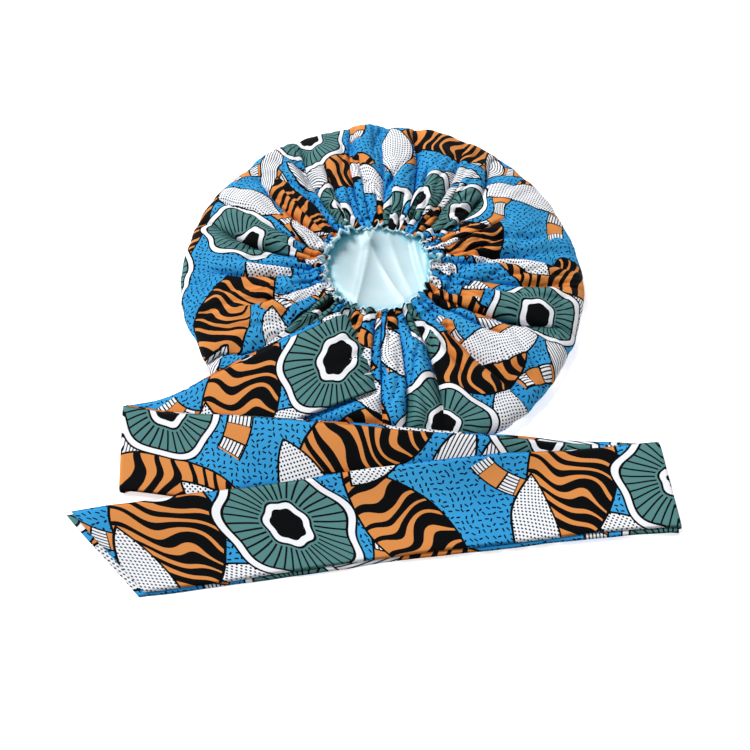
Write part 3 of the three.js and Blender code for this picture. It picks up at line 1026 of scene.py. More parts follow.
@dataclass
class Strap:
    """The two halves of the strap, folded in a flat zigzag on each other.

    Attributes:
        ply: How thick the doubled strap is.
        pitch: From layer to layer.
        ease: How far beside a layer the ones over it come down again.
        rest: The height that the strap lies at, by the share of the way from the outline to the ring.
        layers: The layer that each half's runs lie in, from the ring on.
        upper_edges: Where each half's upper edge starts, turns twice and ends on the floor plan.
        lower_edges: The same for its lower edge.
        cut_from: Where each half's two faces were cut from the printed cloth.
        flat_length: How long it is when it lies out flat, in metres; not used.
        edge_sharpness: How late the two plies come together towards an edge.
        covers_from: How far beside the strap it begins to keep the skirt down.
        waver_size: How far the edges stray, as a share of how long a stray is.
        puckers: The gathered end's ridges: how many radians across, radians along, start and share.
        rounds: How often a place's share of the way to the ring is worked out anew.
    """

    ply: float = 1.2
    pitch: float = 2.0
    ease: float = 80.0
    run_steps: tuple[int, ...] = (70, 120, 116)
    turn_steps: int = 14
    columns: int = 26
    breadth: float = 78.0
    flat_length: float = 1.16
    rest: tuple[tuple[float, float], ...] = (
        (-0.45, 0),
        (-0.28, 3.6),
        (-0.1, 11.4),
        (0.02, 15.8),
        (0.14, 18.3),
        (0.3, 20.9),
        (0.74, 27),
        (0.9, 30.2),
        (1, 30.4),
        (1.1, 28.6),
    )
    names: tuple[str, ...] = ("tie_upper", "tie_lower")
    layers: tuple[tuple[int, ...], ...] = ((1, 2, 5), (0, 3, 4))
    upper_edges: tuple[tuple[tuple[float, float], ...], ...] = (
        ((-29, -68), (-230, -149), (238.5, -185.5), (-258, -246)),
        ((-32, -62), (-230.5, -150), (238, -189), (-262.4, -249)),
    )
    lower_edges: tuple[tuple[tuple[float, float], ...], ...] = (
        ((-2, -143), (-218.5, -227.2), (241.3, -260), (-188, -310)),
        ((-4, -138), (-219, -229.7), (240.5, -264), (-192, -313.5)),
    )
    cut_from: tuple[tuple[tuple[float, float], ...], ...] = (
        ((40.0, 32.0), (210.0, 160.0)),
        ((190.0, 97.0), (300.0, 200.0)),
    )
    bows: tuple[Bow, ...] = (Bow(-8.0, 0.0, 2), Bow(-9.6, -8.0, 0.9, 2, 0.93), Bow(3.2, 4.4, 0.65))
    turn_length: float = 3.0
    edge_sharpness: int = 14
    covers_from: float = -7.0
    waver_size: float = 0.0042
    waver_lengths: tuple[float, ...] = (210.0, 120.0, 63.0, 34.0)
    waver_power: float = 0.9
    other_edge: float = 1.13
    end_length: float = 14.0
    end_drop: float = 6.0
    pucker_length: float = 46.0
    pucker_height: float = 1.5
    puckers: tuple[tuple[float, ...], ...] = ((31, 0.03, 0.0, 1.0), (53, -0.05, 1.3, 0.7))
    layer_count: int = 6
    rounds: int = 6
    seed: int = 40

    def share_at(self, x: Numbers, y: Numbers) -> Numbers:
        """The share of the way from the outline to the ring at a place on the floor plan."""
        share = np.zeros_like(x)
        for _ in range(self.rounds):
            out = np.hypot(x, y - OPENING_SHIFT * np.maximum(share, 0))
            share = (BONNET_RADIUS - out) / (BONNET_RADIUS - RING_RADIUS)
        return share

    def within(self, layer: int, x: Numbers, y: Numbers) -> Numbers:
        """How far inside the run that lies in a layer a place is, in millimetres, below 0 outside."""
        half = next(i for i, layers in enumerate(self.layers) if layer in layers)
        run = self.layers[half].index(layer)
        upper, lower = self.upper_edges[half], self.lower_edges[half]
        if run == 1:
            left, right = upper[run][0], upper[run + 1][0]
            y = y - self.bows[run].at(np.clip((x - left) / (right - left), 0, 1))[0]
        ends = [upper[run], upper[run + 1], lower[run + 1], lower[run]]
        sides = []
        for (ax, ay), (bx, by) in zip(ends, ends[1:] + ends[:1]):
            sides.append(((bx - ax) * (y - ay) - (by - ay) * (x - ax)) / math.hypot(bx - ax, by - ay))
        turn = np.sign(sum(sides))
        return np.min([side * turn for side in sides], axis=0)

    def underside(self, layer: int, x: Numbers, y: Numbers) -> Numbers:
        """The height of the underside of a layer at a place on the floor plan."""
        height = smooth_rows(self.rest, self.share_at(x, y))
        for below in range(layer):
            height = height + self.pitch * smoothstep(-self.ease, 0, self.within(below, x, y))
        return height

    def presses(self, x: Numbers, y: Numbers) -> tuple[Numbers, Numbers]:
        """How much the strap covers each place on the floor plan, and its underside's height there."""
        inside = np.max([self.within(layer, x, y) for layer in range(self.layer_count)], axis=0)
        return smoothstep(self.covers_from, 0, inside), self.underside(0, x, y)

    def cloth(self, half: int) -> Cloth:
        """One half of the strap, as a closed flat tube.

        Args:
            half: 0 for the half on top of the first run, 1 for the other.

        Returns:
            Its mesh.
        """
        table = self.rows(half)
        across = np.linspace(0, 1, self.columns + 1)
        ax, ay, bx, by, turn, low_layer, high_layer, up, bulge, run_at = (c[:, None] for c in table.T)
        waver = self.waver(np.random.default_rng(self.seed + half), run_at, across)
        x = ax + (bx - ax) * across
        y = ay + (by - ay) * (across + waver / self.breadth)
        heights = np.stack([self.underside(layer, x, y) for layer in range(self.layer_count)])
        pick = np.arange(len(table))
        low = heights[low_layer[:, 0].astype(int), pick]
        high = heights[high_layer[:, 0].astype(int), pick]
        radius = (high - low) / 2
        pillow = np.sqrt(np.clip(1 - np.abs(2 * across - 1) ** self.edge_sharpness, 0, 1))
        faces = []
        for face in (0.5, -0.5):
            offset = face * self.ply * up * pillow
            out = np.sin(turn) * (radius - offset) * bulge
            height = (low + high) / 2 - np.cos(turn) * (radius - offset) + self.ply / 2
            height = height + self.soft_end(run_at, across)
            faces.append(np.stack([x + out, y, height], axis=-1))
        return self.skin(faces, run_at, across, half)

    def rows(self, half: int) -> Numbers:
        """The rows of points along one half, over its runs and round its turns.

        Args:
            half: Which half it is.

        Returns:
            For each row the upper edge's x and y, the lower edge's, how far round a turn it is in
            radians, the layers it comes from and goes to, 1 where its first face is up and -1 where it
            is down, the side that the turn bulges to, and how far along the strap it is.
        """
        upper = np.array(self.upper_edges[half], float)
        lower = np.array(self.lower_edges[half], float)
        layers = self.layers[half]
        rows = []
        along = 0.0
        for run, layer in enumerate(layers):
            up = -1 if run % 2 else 1
            length = np.hypot(*(upper[run + 1] + lower[run + 1] - upper[run] - lower[run])) / 2
            steps = self.run_steps[run]
            for step in range(1 if run else 0, steps + 1):
                t = step / steps
                a = upper[run] + (upper[run + 1] - upper[run]) * t
                b = lower[run] + (lower[run + 1] - lower[run]) * t
                high, low = self.bows[run].at(t)
                edges = (a[0], a[1] + high, b[0], b[1] + low)
                rows.append((*edges, 0.0, layer, layer, up, 0.0, along + length * t))
            along += length
            if run + 1 < len(layers):
                for step in range(1, self.turn_steps + 1):
                    turn = math.pi * step / self.turn_steps
                    bulge = 1.0 if run % 2 else -1.0
                    row = (*upper[run + 1], *lower[run + 1], turn, layer, layers[run + 1], up, bulge)
                    rows.append((*row, along + self.turn_length * step / self.turn_steps))
                along += self.turn_length
        return np.array(rows)

    def soft_end(self, along: Numbers, across: Numbers) -> Numbers:
        """How the gathered end dips under the casing and puckers, in millimetres."""
        dip = -self.end_drop * np.clip(1 - along / self.end_length, 0, 1) ** 2
        fade = np.clip(1 - along / self.pucker_length, 0, 1) ** 1.5
        ridges = sum(
            share * np.sin(across * waves + start + lean * along)
            for waves, lean, start, share in self.puckers
        )
        return dip + self.pucker_height * fade * ridges * np.sin(math.pi * across) ** 0.5

    def waver(self, chance: np.random.Generator, along: Numbers, across: Numbers) -> Numbers:
        """How far the strap's edges stray from straight, in millimetres."""
        stray = np.zeros((len(along), len(across)))
        for length in self.waver_lengths:
            phases = chance.uniform(0, math.tau, 2)
            size = self.waver_size * length**self.waver_power
            one = np.sin(along * math.tau / length + phases[0])
            other = np.sin(along * math.tau / (length * self.other_edge) + phases[1])
            stray += size * (one * (1 - across) + other * across)
        return stray

    def skin(self, faces: list[Numbers], along: Numbers, across: Numbers, half: int) -> Cloth:
        """Joins the strap's two faces along their edges and closes its ends.

        Args:
            faces: The points of the two faces, by row and column.
            along: How far along the strap each row is.
            across: How far across it each column is, 0 to 1.
            half: Which half it is, for where it was cut from the cloth.

        Returns:
            The closed mesh.
        """
        rows, columns = faces[0].shape[:2]
        points = np.concatenate([face.reshape(-1, 3) for face in faces])
        number = np.arange(2 * rows * columns).reshape(2, rows, columns)
        number[1][:, [0, -1]] = number[0][:, [0, -1]]
        flat = np.stack(np.broadcast_arrays(along, across * self.breadth), axis=-1)
        top, under = (flat + start for start in self.cut_from[half])
        quads = [corners(number[0]), corners(number[1])[:, ::-1]]
        cuts = [corners(top), corners(under)[:, ::-1]]
        for end, way in ((0, 1), (-1, -1)):
            strip = corners(number[:, end].T)[:, ::way]
            spots = corners(np.stack([top[end], top[end]], axis=1))[:, ::way]
            for quad, spot in zip(strip, spots):
                kept = list(dict.fromkeys(quad.tolist()))
                quads.append(np.array([kept + [-1] * (4 - len(kept))]))
                cuts.append(spot[None])
        return Cloth(*self.compact(points, np.concatenate(quads)), np.concatenate(cuts))

    @staticmethod
    def compact(points: Numbers, faces: Numbers) -> tuple[Numbers, Numbers]:
        """Drops the points that no face uses, and numbers the faces' corners anew."""
        used = np.unique(faces[faces >= 0])
        renumber = np.full(len(points) + 1, -1)
        renumber[used] = np.arange(len(used))
        return points[used], renumber[faces]

    def build(self, cotton: bpy.types.Material) -> None:
        """Makes both halves of the printed cotton."""
        for half, node in enumerate(self.names):
            piece = self.cloth(half).to_object(f"{node}_cloth", cotton, 0)
            stand_for(piece, node)


@dataclass(frozen=True)
class Row:
    """One ring of points of the pouch.

    Attributes:
        share: 0 at the outline and 1 at the ring.
        inset: How far in from the outline or ring it lies, in millimetres.
        height: Its height over the floor, in millimetres.
        main: How strong the main tucks are.
        fine: How strong the pleats are.
        puff: How strongly the cloth swells between the main tucks.
        ruffle: How strongly the frilled edge waves.
    """

    share: float
    inset: float
    height: float
    main: float = 0.0
    fine: float = 0.0
    puff: float = 0.0
    ruffle: float = 0.0


@dataclass(frozen=True)
class Wrinkle:
    """A soft ridge of the lining between two places on the floor plan."""

    start: tuple[float, float]
    end: tuple[float, float]
    height: float
    width: float

    def at(self, x: Numbers, y: Numbers) -> Numbers:
        """The ridge's height at some places, in millimetres."""
        from_start = np.stack([x - self.start[0], y - self.start[1]], -1)
        along = np.array(self.end) - np.array(self.start)
        part = np.clip(from_start @ along / (along @ along), 0, 1)
        away = np.linalg.norm(from_start - part[..., None] * along, axis=-1)
        return self.height * np.exp(-((away / self.width) ** 1.1))


WRINKLES = [
    Wrinkle((-20, 46), (-12, 16), 2.2, 4),
    Wrinkle((-4, 46), (-12, 16), 1.8, 4),
    Wrinkle((-12, 16), (-25, -62), 2.6, 5),
    Wrinkle((-12, 16), (24, -60), 2.6, 5),
    Wrinkle((29, 31), (42, -42), 3.0, 3.2),
    Wrinkle((24, 30), (37, -38), -1.6, 3),
    Wrinkle((44, 20), (42, -42), 2.2, 4),
    Wrinkle((7, 26), (28, -44), 2.2, 7),
    Wrinkle((-44, 6), (-16, 34), -0.8, 8),
    Wrinkle((52, 6), (50, -24), -1.4, 5),
    Wrinkle((-16, 26), (-30, -62), 3.0, 16),
]
# How far from the opening's middle the wrinkles have faded away, and within which they are whole.
WRINKLES_FADE = (110, 50)
LINING_FLOOR = [
    (0, 20.5),
    (25, 22.0),
    (38, 25.4),
    (46, 27.0),
    (52, 25.6),
    (60, 23.2),
    (83, 19.0),
    (104, 17),
    (132, 12),
    (160, 6.5),
    (188, 2.4),
    (210, 2.4),
]


def lining_height(x: Numbers, y: Numbers) -> Numbers:
    """How high the loose lining lies over the floor, in millimetres."""
    out = np.hypot(x, y - OPENING_SHIFT)
    ridges = np.sum([wrinkle.at(x, y) for wrinkle in WRINKLES], axis=0)
    return smooth_rows(LINING_FLOOR, out) + ridges * smoothstep(*WRINKLES_FADE, out)


@dataclass
class Pouch:
    """The bonnet's pouch: the printed cloth, the gathered casing and the satin lining.

    Attributes:
        gathers: Its tucks and pleats.
        strap: The strap that keeps it down in front.
        rim_inset: How far in from the outline the rim begins.
        crown_inset: From how far in the crown is flat.
        cotton_round: How wide the printed cloth is cut, in metres; not used.
        satin_round: The same for the lining; not used.
        frill: How far the frilled edge waves in and out.
        frill_rise: How far it waves up and down.
        frill_ins: The least and most that a loop of it goes in, as a share of frill: its bump and its wave.
        frill_ups: The same for how far it goes up, as a share of frill_rise.
        frill_sides: The least and most that it goes sideways, in millimetres.
        loop_least: How far each loop of the lip rolls out at least, as a share of lip_out.
        loop_most: How much more every other one does at most.
        lip_out: How far a loop of the satin lip rolls out.
        lip_up: How far it rolls up.
        inward: How far the edge leans in where no loop rolls out.
        inward_drop: How far it drops there.
        lean_back: How much more it leans in at the back.
        lean_right: The same at the right.
        rim: The rim's inset and height, from the crown up.
        skirt_heights: The skirt's height by the share of the way to the ring.
        casing: The casing's inset, height, main tucks, pleats and frill, from its outer stitch line in.
        bumps: How often the outline's small bumps go round.
        crown_rings: Where the crown's rings of points lie, as a share of the way in from the outline.
        skirt_rings: How many rings the skirt has up to skirt_middle, and from there to the ring.
        tucks_open: By which share the main tucks are open.
        tucks_weaken: How much weaker they are at the ring.
        rim_puff: How strongly the rim swells between the tucks, 1 for the skirt over it.
        swell_share: How far the cloth stands up, as a share of the way between two tucks.
        swell_most: How far it stands up at most.
        swell_flat: How flat it is on top, from 1 up.
        rim_tucks: From which height the tucks go on over the rim, and where they do so fully.
        sinks_from: The height from which a valley is as deep as it can be.
        creased: From which height the cloth is creased, and where it is so fully.
        lip_begins: The share of its height under which a lip's lobe leans in, as the bare edge does.
        lip_full: The height of a lip's lobe that is turned out all the way.
        lip_widens: How much more the frill waves there.
        frill_follows: How much of a valley's depth pulls the frill outwards.
        lip: The satin lip past the frilled edge: its inset, rise and frill.
        lining_gap: How far in from the casing the lining lies.
        lining_drops: How much lower it lies under the casing, under the ring and at the outline.
        lining_rim: The lining's inset and height inside the rim, from the skirt down.
        lining_parts: Where its rings on the crown lie, as a share of the way in.
    """

    gathers: Gathers
    strap: Strap
    rim_inset: float = 17.0
    crown_inset: float = 20.0
    casing_steps: int = 26
    lining_drop: float = 1.5
    strap_gap: float = 0.9
    cotton_round: float = 0.68
    satin_round: float = 0.67
    frill: float = 2.4
    frill_rise: float = 2.6
    frill_ins: tuple[tuple[float, float], ...] = ((0.3, 1.5), (-0.6, 0.6))
    frill_ups: tuple[tuple[float, float], ...] = ((-0.6, 1), (-0.4, 0.4))
    frill_sides: tuple[float, float] = (0.4, 1.6)
    loop_least: float = 0.3
    loop_most: float = 1.7
    lip_out: float = 6.5
    lip_up: float = 1.6
    inward: float = 1.8
    inward_drop: float = 3.2
    lean_back: float = 3.3
    lean_right: float = 2.6
    bumps: tuple[int, ...] = (13, 21, 30, 43, 58)
    bump_height: float = 0.75
    bump_mean: float = 0.64
    crown_rings: tuple[float, ...] = (0.92, 0.7, 0.45, 0.24, 0.13)
    rim_rings: int = 12
    skirt_rings: tuple[int, int] = (20, 44)
    skirt_middle: float = 0.45
    lining_rings: int = 15
    tucks_open: float = 0.25
    tucks_weaken: float = 0.35
    rim_puff: float = 0.55
    swell_share: float = 0.12
    swell_most: float = 6.8
    swell_flat: float = 2.6
    rim_tucks: tuple[float, float] = (4, 16)
    sinks_from: float = 14
    creased: tuple[float, float] = (7, 19)
    lip_begins: float = 0.35
    lip_full: float = 5.0
    lip_widens: float = 0.9
    frill_follows: float = 0.55
    lip: tuple[tuple[float, ...], ...] = ((0.5, 0.6, 1.06), (1.1, 0.5, 1.06), (1.3, -0.3, 1.02))
    lining_gap: float = 0.8
    lining_drops: tuple[float, ...] = (2.0, 2.6, 2.4)
    lining_rim: tuple[tuple[float, float], ...] = ((12, 10.6), (9, 8.0), (10, 4.8), (17, 2.6))
    lining_parts: tuple[float, ...] = (0.16, 0.26, 0.38, 0.5, 0.6, *(1 - np.linspace(0.34, 0.006, 40)))
    seed: int = 5
    rim: tuple[tuple[float, float], ...] = (
        (17.0, 0.4),
        (9.0, 1.2),
        (2.6, 4.4),
        (0.0, 8.6),
        (1.6, 12.4),
        (7.0, 15.6),
        (17.0, 17.8),
    )
    skirt_heights: tuple[tuple[float, float], ...] = (
        (0.13, 17.8),
        (0.3, 20.6),
        (0.52, 24.0),
        (0.74, 27.4),
        (0.9, 30.4),
        (1.0, 31.2),
    )
    casing: tuple[tuple[float, ...], ...] = (
        (0.0, 31.2, 0.65, 1.0, 0.0),
        (1.3, 30.9, 0.6, 0.95, 0.0),
        (2.6, 31.6, 0.65, 1.05, 0.0),
        (4.6, 33.2, 0.7, 1.15, 0.0),
        (6.8, 33.9, 0.7, 1.2, 0.0),
        (9.0, 33.4, 0.65, 1.05, 0.0),
        (10.6, 32.0, 0.6, 0.75, 0.1),
        (11.8, 31.6, 0.6, 0.7, 0.2),
        (13.0, 32.6, 0.6, 0.8, 0.4),
        (14.6, 34.2, 0.6, 0.85, 0.6),
        (16.2, 35.6, 0.55, 0.8, 0.8),
        (17.6, 36.4, 0.5, 0.7, 1.0),
    )

    def outline(self, azimuths: Numbers) -> Numbers:
        """The outline's radius at some azimuths."""
        return BONNET_RADIUS + sum(lobe.at(azimuths) for lobe in OUTLINE_LOBES)

    def crown_rows(self) -> list[Row]:
        """The flat crown underneath and the round rim, from the middle outwards."""
        floor = self.rim[0][1]
        rows = [Row(0, BONNET_RADIUS * part, floor) for part in self.crown_rings]
        for ring in range(self.rim_rings):
            at = ring / (self.rim_rings - 1) * (len(self.rim) - 1)
            inset, height = (smooth_rows(list(enumerate(column)), at) for column in zip(*self.rim))
            rows.append(Row(0, inset, height, puff=self.rim_puff * smoothstep(9.0, 18.0, height)))
        return rows

    def tucks(self, share: float) -> float:
        """How strong the main tucks are at a share of the way to the ring."""
        return smoothstep(0.0, self.tucks_open, share) * (1 - self.tucks_weaken * share)

    def skirt_rows(self) -> list[Row]:
        """The skirt over the top, from the rim in to the ring."""
        rows = []
        first, second = self.skirt_rings
        outer, inner = np.linspace(0, self.skirt_middle, first), np.linspace(self.skirt_middle, 1, second)
        for share in (*outer[1:], *inner[1:]):
            inset = self.rim_inset * max(0.0, 1 - share / 0.5)
            height = smooth_rows(self.skirt_heights, share + inset / (BONNET_RADIUS - RING_RADIUS))
            puff = self.rim_puff + (1 - self.rim_puff) * smoothstep(0.0, self.tucks_open, share)
            puff *= smoothstep(1.0, 0.8, share)
            rows.append(Row(share, inset, height, self.tucks(share), 1.0, puff))
        return rows

    def casing_rows(self) -> list[Row]:
        """The gathered casing from its outer stitch line to its frilled edge."""
        insets, *columns = zip(*self.casing)
        rows = []
        for inset in np.linspace(0, insets[-1], self.casing_steps):
            values = [smooth_rows(list(zip(insets, column)), inset) for column in columns]
            rows.append(Row(1, inset, *values[:3], 0, values[3]))
        return rows

    def lining_rows(self) -> list[Row]:
        """The lining from the frilled edge, down inside and back along the crown to the middle."""
        casing = self.casing_rows()
        edge = casing[-1]
        rows = [
            Row(1, edge.inset + inset, edge.height + rise, edge.main, edge.fine, 0, ruffle)
            for inset, rise, ruffle in self.lip
        ]
        casing_drop, ring_drop, outer_drop = self.lining_drops
        for row in casing[-2::-2]:
            inset = row.inset + self.lining_gap
            drop = self.lining_drop + casing_drop * smoothstep(13, 2, row.inset)
            rows.append(Row(1, inset, row.height - drop, row.main, row.fine, 0, row.ruffle))
        for share in np.linspace(0.98, 0.12, self.lining_rings):
            drop = self.lining_drop + ring_drop + outer_drop * smoothstep(0.9, 0.3, share)
            height = smooth_rows(self.skirt_heights, share) - drop
            rows.append(Row(share, 0, height, self.tucks(share), 0.9, 0.4))
        rows += [Row(0, inset, height) for inset, height in self.lining_rim]
        return rows + [Row(0, BONNET_RADIUS * part, 0) for part in self.lining_parts]

    def lay(self, rows: list[Row]) -> tuple[Numbers, Numbers, Numbers]:
        """Lays rows of points round the pouch.

        Args:
            rows: The rows.

        Returns:
            The points by row and column, each row's mean radius, and the shares.
        """
        share, inset, height, main, fine, puff, ruffle = np.array([astuple(row) for row in rows], float).T
        azimuths = self.gathers.azimuths(share)
        edge = self.outline(azimuths)
        mixed = edge + (RING_RADIUS - edge) * share[:, None]
        middle = (inset[:, None] > self.crown_inset) * (share == 0)[:, None]
        radius = np.where(middle, edge * (1 - inset[:, None] / BONNET_RADIUS), mixed - inset[:, None])
        rim = smoothstep(*self.rim_tucks, height) * (share < 1)
        sink, lap, out = self.gathers.shape(share, radius, main, fine, rim)
        sink = sink * smoothstep(0, self.sinks_from, height)[:, None]
        outer = smoothstep(0.5, 1.0, radius / BONNET_RADIUS)
        radius = radius + out * outer + self.uneven(azimuths) * (1 - share)[:, None] * outer
        tall = height[:, None] + self.swell(radius) * puff[:, None] - sink
        waves, rolls, sides = self.frilled_edge()
        radius = radius - waves[0] * ruffle[:, None]
        radius = radius + self.frill_follows * sink * ruffle[:, None]
        radius = radius + rolls[0] * ruffle[:, None] ** 2
        tall = tall + waves[1] * ruffle[:, None] + rolls[1] * ruffle[:, None] ** 2
        along = share * (BONNET_RADIUS - RING_RADIUS) + inset
        open_cloth = smoothstep(*self.creased, height)[:, None]
        tall = tall + SKIRT_CREASES.height(azimuths, radius, along) * open_cloth
        tall = tall + RING_CREASES.height(azimuths, radius, along) * fine[:, None]
        angle = np.radians(azimuths) + (lap + sides * ruffle[:, None]) / np.maximum(radius, 1)
        x = radius * np.cos(angle)
        y = OPENING_SHIFT * share[:, None] + radius * np.sin(angle)
        covered, ceiling = self.strap.presses(x, y)
        over = np.maximum(tall - (ceiling - self.strap_gap), 0) * (share < 1)[:, None]
        return np.stack([x, y, tall - covered * over], axis=-1), radius.mean(axis=1), share

    def frilled_edge(self) -> tuple[tuple[Numbers, Numbers], tuple[Numbers, Numbers], Numbers]:
        """How the frilled edge moves, by column and in millimetres.

        Returns:
            How far it waves in and up, how far its satin lip rolls out and up, and how far it waves
            sideways.
        """
        waves_in, waves_up, sides, loops = self.ruffles()
        around = self.gathers.azimuths(np.ones(1))[0]
        turned = np.minimum(sum(lobe.at(around) for lobe in LIP_LOBES) / self.lip_full, 1.0)
        frill = self.frill * (1 + self.lip_widens * turned)
        inward = smoothstep(self.lip_begins, 0.0, turned)
        sine, cosine = np.sin(np.radians(around)), np.cos(np.radians(around))
        lean = self.inward * inward + self.lean_back * sine + self.lean_right * cosine
        out = self.lip_out * turned * loops - lean
        rise = self.lip_up * turned * loops - self.inward_drop * inward
        return (frill * waves_in, self.frill_rise * waves_up), (out, rise), sides

    def uneven(self, azimuths: Numbers) -> Numbers:
        """The small bumps of the outline, in millimetres."""
        chance = np.random.default_rng(self.seed + 3)
        bumps = np.zeros_like(azimuths)
        for waves in self.bumps:
            phase = chance.uniform(0, math.tau)
            bumps += np.abs(np.sin(np.radians(azimuths) * waves / 2 + phase)) - self.bump_mean
        return bumps * self.bump_height

    def swell(self, radius: Numbers) -> Numbers:
        """How far the cloth stands up between the main tucks, in millimetres."""
        _, across, start, end = self.gathers.panels(0)
        width = (end - start) * FULL_TURN / self.gathers.columns
        tall = np.minimum(self.swell_share * np.radians(width)[None, :] * radius, self.swell_most)
        return tall * (1 - np.abs(across[None, :]) ** self.swell_flat)

    def ruffles(self) -> tuple[Numbers, Numbers, Numbers, Numbers]:
        """How the frilled edge waves in, up and sideways, and how far each loop rolls out, by column."""
        chance = np.random.default_rng(self.seed)
        number, across = self.gathers.panels(3)[:2]
        count = number.max() + 1
        bump, wave = np.cos(across * math.pi / 2) ** 2, np.sin(across * math.tau)
        ins, ups = (
            chance.uniform(*bumps, count)[number] * bump + chance.uniform(*waves, count)[number] * wave
            for bumps, waves in (self.frill_ins, self.frill_ups)
        )
        sides = chance.uniform(*self.frill_sides, count)[number] * np.sin(across * math.pi)
        every_other = chance.uniform(0.0, self.loop_most, count) * (np.arange(count) % 2)
        return ins, ups, sides, self.loop_least + every_other[number] * bump

    def cloth(self, points: Numbers, radius: Numbers, share: Numbers, cut: Numbers, middle: bool) -> Cloth:
        """Joins rows of points to a mesh with its place on the cut cloth.

        Args:
            points: The points by row and column.
            radius: Each row's mean radius.
            share: Each row's share of the way to the ring.
            cut: Each row's distance from the middle of the cut cloth.
            middle: Whether the first row closes on a point in the middle.

        Returns:
            The mesh.
        """
        rows, columns = points.shape[:2]
        number = np.arange(rows * columns).reshape(rows, columns)
        after = np.roll(number, -1, axis=1)
        left, right = self.gathers.cut_angles(share, radius, np.maximum(cut, 1))
        spots = []
        for angle, row in ((left[:-1], 0), (right[:-1], 0), (right[1:], 1), (left[1:], 1)):
            out = (cut[:-1] if row == 0 else cut[1:])[:, None]
            spots.append(np.stack([out * np.cos(np.radians(angle)), out * np.sin(np.radians(angle))], -1))
        faces = np.stack([number[:-1], after[:-1], after[1:], number[1:]], axis=-1).reshape(-1, 4)
        cuts = np.stack(spots, axis=-2).reshape(-1, 4, 2)
        flat = points.reshape(-1, 3)
        if middle:
            centre = len(flat)
            flat = np.vstack([flat, points[0].mean(axis=0)])
            ring = number[0]
            fan = np.stack([np.full(columns, centre), np.roll(ring, -1), ring, np.full(columns, -1)], -1)
            first = cuts.reshape(rows - 1, columns, 4, 2)[0]
            spot = np.stack([np.zeros((columns, 2)), first[:, 1], first[:, 0], np.zeros((columns, 2))], -2)
            faces = np.vstack([faces, fan])
            cuts = np.concatenate([cuts, spot])
        return Cloth(flat, faces, cuts)

    def lengths(self, points: Numbers) -> Numbers:
        """How far each row lies along the cloth from the middle, in millimetres."""
        steps = np.linalg.norm(np.diff(points, axis=0), axis=2)
        first = np.hypot(points[0, :, 0], points[0, :, 1]).mean()
        return np.concatenate([[first], first + np.cumsum(np.median(steps, axis=1))])

    def build(self, cotton: bpy.types.Material, satin: bpy.types.Material) -> None:
        """Makes the skirt and the casing of printed cotton, and the lining of satin."""
        outside = self.crown_rows() + self.skirt_rows()
        seam = len(outside) - 1
        points, radius, share = self.lay(outside + self.casing_rows()[1:])
        laid = (points, radius, share, self.lengths(points))
        skirt = self.cloth(*(rows[: seam + 1] for rows in laid), True)
        casing = self.cloth(*(rows[seam:] for rows in laid), False)
        lining_rows = self.lining_rows()
        laid = self.lay(lining_rows)
        self.line(laid[0], np.array([row.height == 0 for row in lining_rows]))
        points, radius, share = (np.flip(rows, axis=0) for rows in laid)
        lining = self.cloth(points, radius, share, self.lengths(points), True)
        made = [
            cloth.to_object(name, finish, thickness)
            for name, cloth, finish, thickness in (
                ("skirt_cloth", skirt, cotton, 0.7),
                ("casing_cloth", casing, cotton, 0.6),
                ("lining_cloth", lining, satin, 0.45),
            )
        ]
        stand_for(made[0], "outer_shell")
        stand_for(made[1], "elastic_casing")
        stand_for(made[2], "satin_lining")

    def line(self, points: Numbers, floor: Numbers) -> None:
        """Gives the lining its lip over the frill and its wrinkles on the crown, in place.

        Args:
            points: The lining's points by row and column, from the frilled edge inwards.
            floor: Which rows lie loosely on the crown.
        """
        azimuths = np.degrees(np.arctan2(points[0, :, 1] - OPENING_SHIFT, points[0, :, 0]))
        lip = sum(lobe.at(azimuths) for lobe in LIP_LOBES)
        outward = np.stack([np.cos(np.radians(azimuths)), np.sin(np.radians(azimuths))], -1)
        points[0, :, :2] += outward * (1.0 + lip * 0.25)[:, None]
        points[0, :, 2] += 0.5
        x, y = points[floor][..., 0], points[floor][..., 1]
        points[floor, :, 2] = lining_height(x, y)


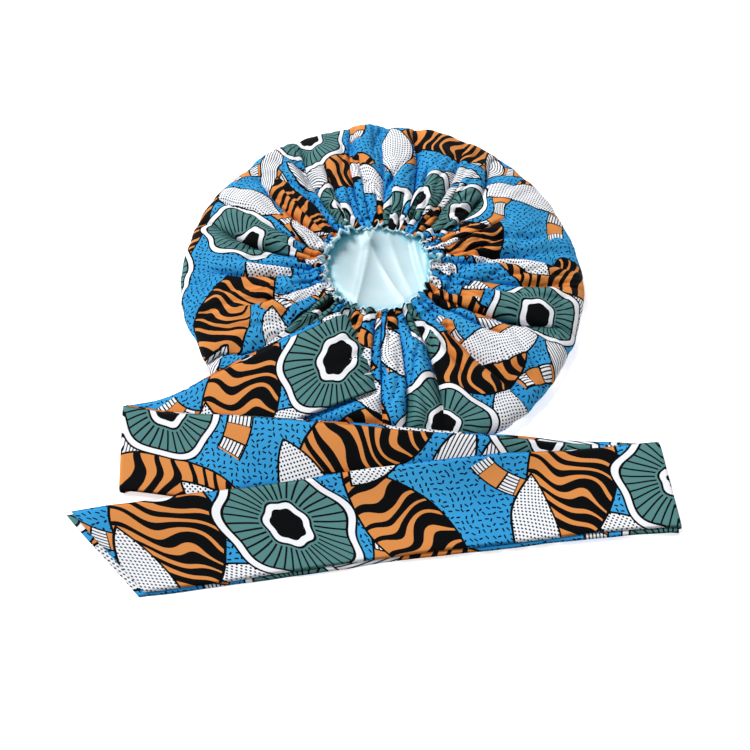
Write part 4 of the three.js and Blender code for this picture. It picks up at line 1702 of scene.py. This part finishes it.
@dataclass(frozen=True)
class Studio:
    """The pale floor, the soft lights and the camera, which aren't part of the bonnet."""

    floor_side: float = 6000.0
    camera_place: tuple[float, float, float] = (-6.9, -384.7, 516.2)
    aim: tuple[float, float, float] = (-6.9, -120.7, 9.0)
    lens: float = 30.0
    sensor: float = 36.0
    window_place: tuple[float, float, float] = (-900, 700, 1150)
    window_width: float = 30.0
    window_power: float = 3.3
    sky_power: float = 0.34
    floor_glow: float = 0.6

    def build(self) -> None:
        """Makes the floor, the lights and the camera."""
        scene = bpy.context.scene
        scene.view_settings.view_transform = "Standard"
        self.floor()
        world = bpy.data.worlds.new("studio")
        world.use_nodes = True
        sky = world.node_tree.nodes["Background"]
        sky.inputs["Color"].default_value = linear(Dye.STUDIO_WHITE)
        sky.inputs["Strength"].default_value = self.sky_power
        scene.world = world
        self.light()
        eye = bpy.data.cameras.new("camera")
        eye.lens = self.lens
        eye.sensor_width = self.sensor
        camera = bpy.data.objects.new("camera", eye)
        scene.collection.objects.link(camera)
        place = Vector(self.camera_place) * METRES
        camera.location = place
        camera.rotation_euler = (Vector(self.aim) * METRES - place).to_track_quat("-Z", "Y").to_euler()
        scene.camera = camera

    def floor(self) -> None:
        """Makes the floor under the bonnet."""
        half = self.floor_side / 2 * METRES
        mesh = bpy.data.meshes.new("studio_floor")
        square = [(-half, -half, 0), (half, -half, 0), (half, half, 0), (-half, half, 0)]
        mesh.from_pydata(square, [], [(0, 1, 2, 3)])
        paper = bpy.data.materials.new("matt white paper")
        paper.use_nodes = True
        shader = paper.node_tree.nodes["Principled BSDF"]
        shader.inputs["Base Color"].default_value = linear(Dye.STUDIO_WHITE)
        shader.inputs["Roughness"].default_value = 1.0
        shader.inputs["Specular IOR Level"].default_value = 0.0
        shader.inputs["Emission Color"].default_value = linear(Dye.STUDIO_WHITE)
        shader.inputs["Emission Strength"].default_value = self.floor_glow
        mesh.materials.append(paper)
        floor = bpy.data.objects.new("studio_floor", mesh)
        bpy.context.scene.collection.objects.link(floor)

    def light(self) -> None:
        """Adds the soft main light, as wide and even as a large window."""
        lamp = bpy.data.lights.new("window", "SUN")
        lamp.angle = math.radians(self.window_width)
        lamp.energy = self.window_power
        holder = bpy.data.objects.new("window", lamp)
        bpy.context.scene.collection.objects.link(holder)
        holder.rotation_euler = (-Vector(self.window_place)).to_track_quat("-Z", "Y").to_euler()


def main() -> None:
    """Builds the studio, the pouch and the strap."""
    logging.basicConfig(level=logging.INFO, format="%(name)s: %(message)s")
    Studio().build()
    cotton = PrintedCotton().material()
    satin = Satin().material()
    strap = Strap()
    Pouch(Gathers(), strap).build(cotton, satin)
    strap.build(cotton)
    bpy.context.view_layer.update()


if __name__ == "__main__":
    main()
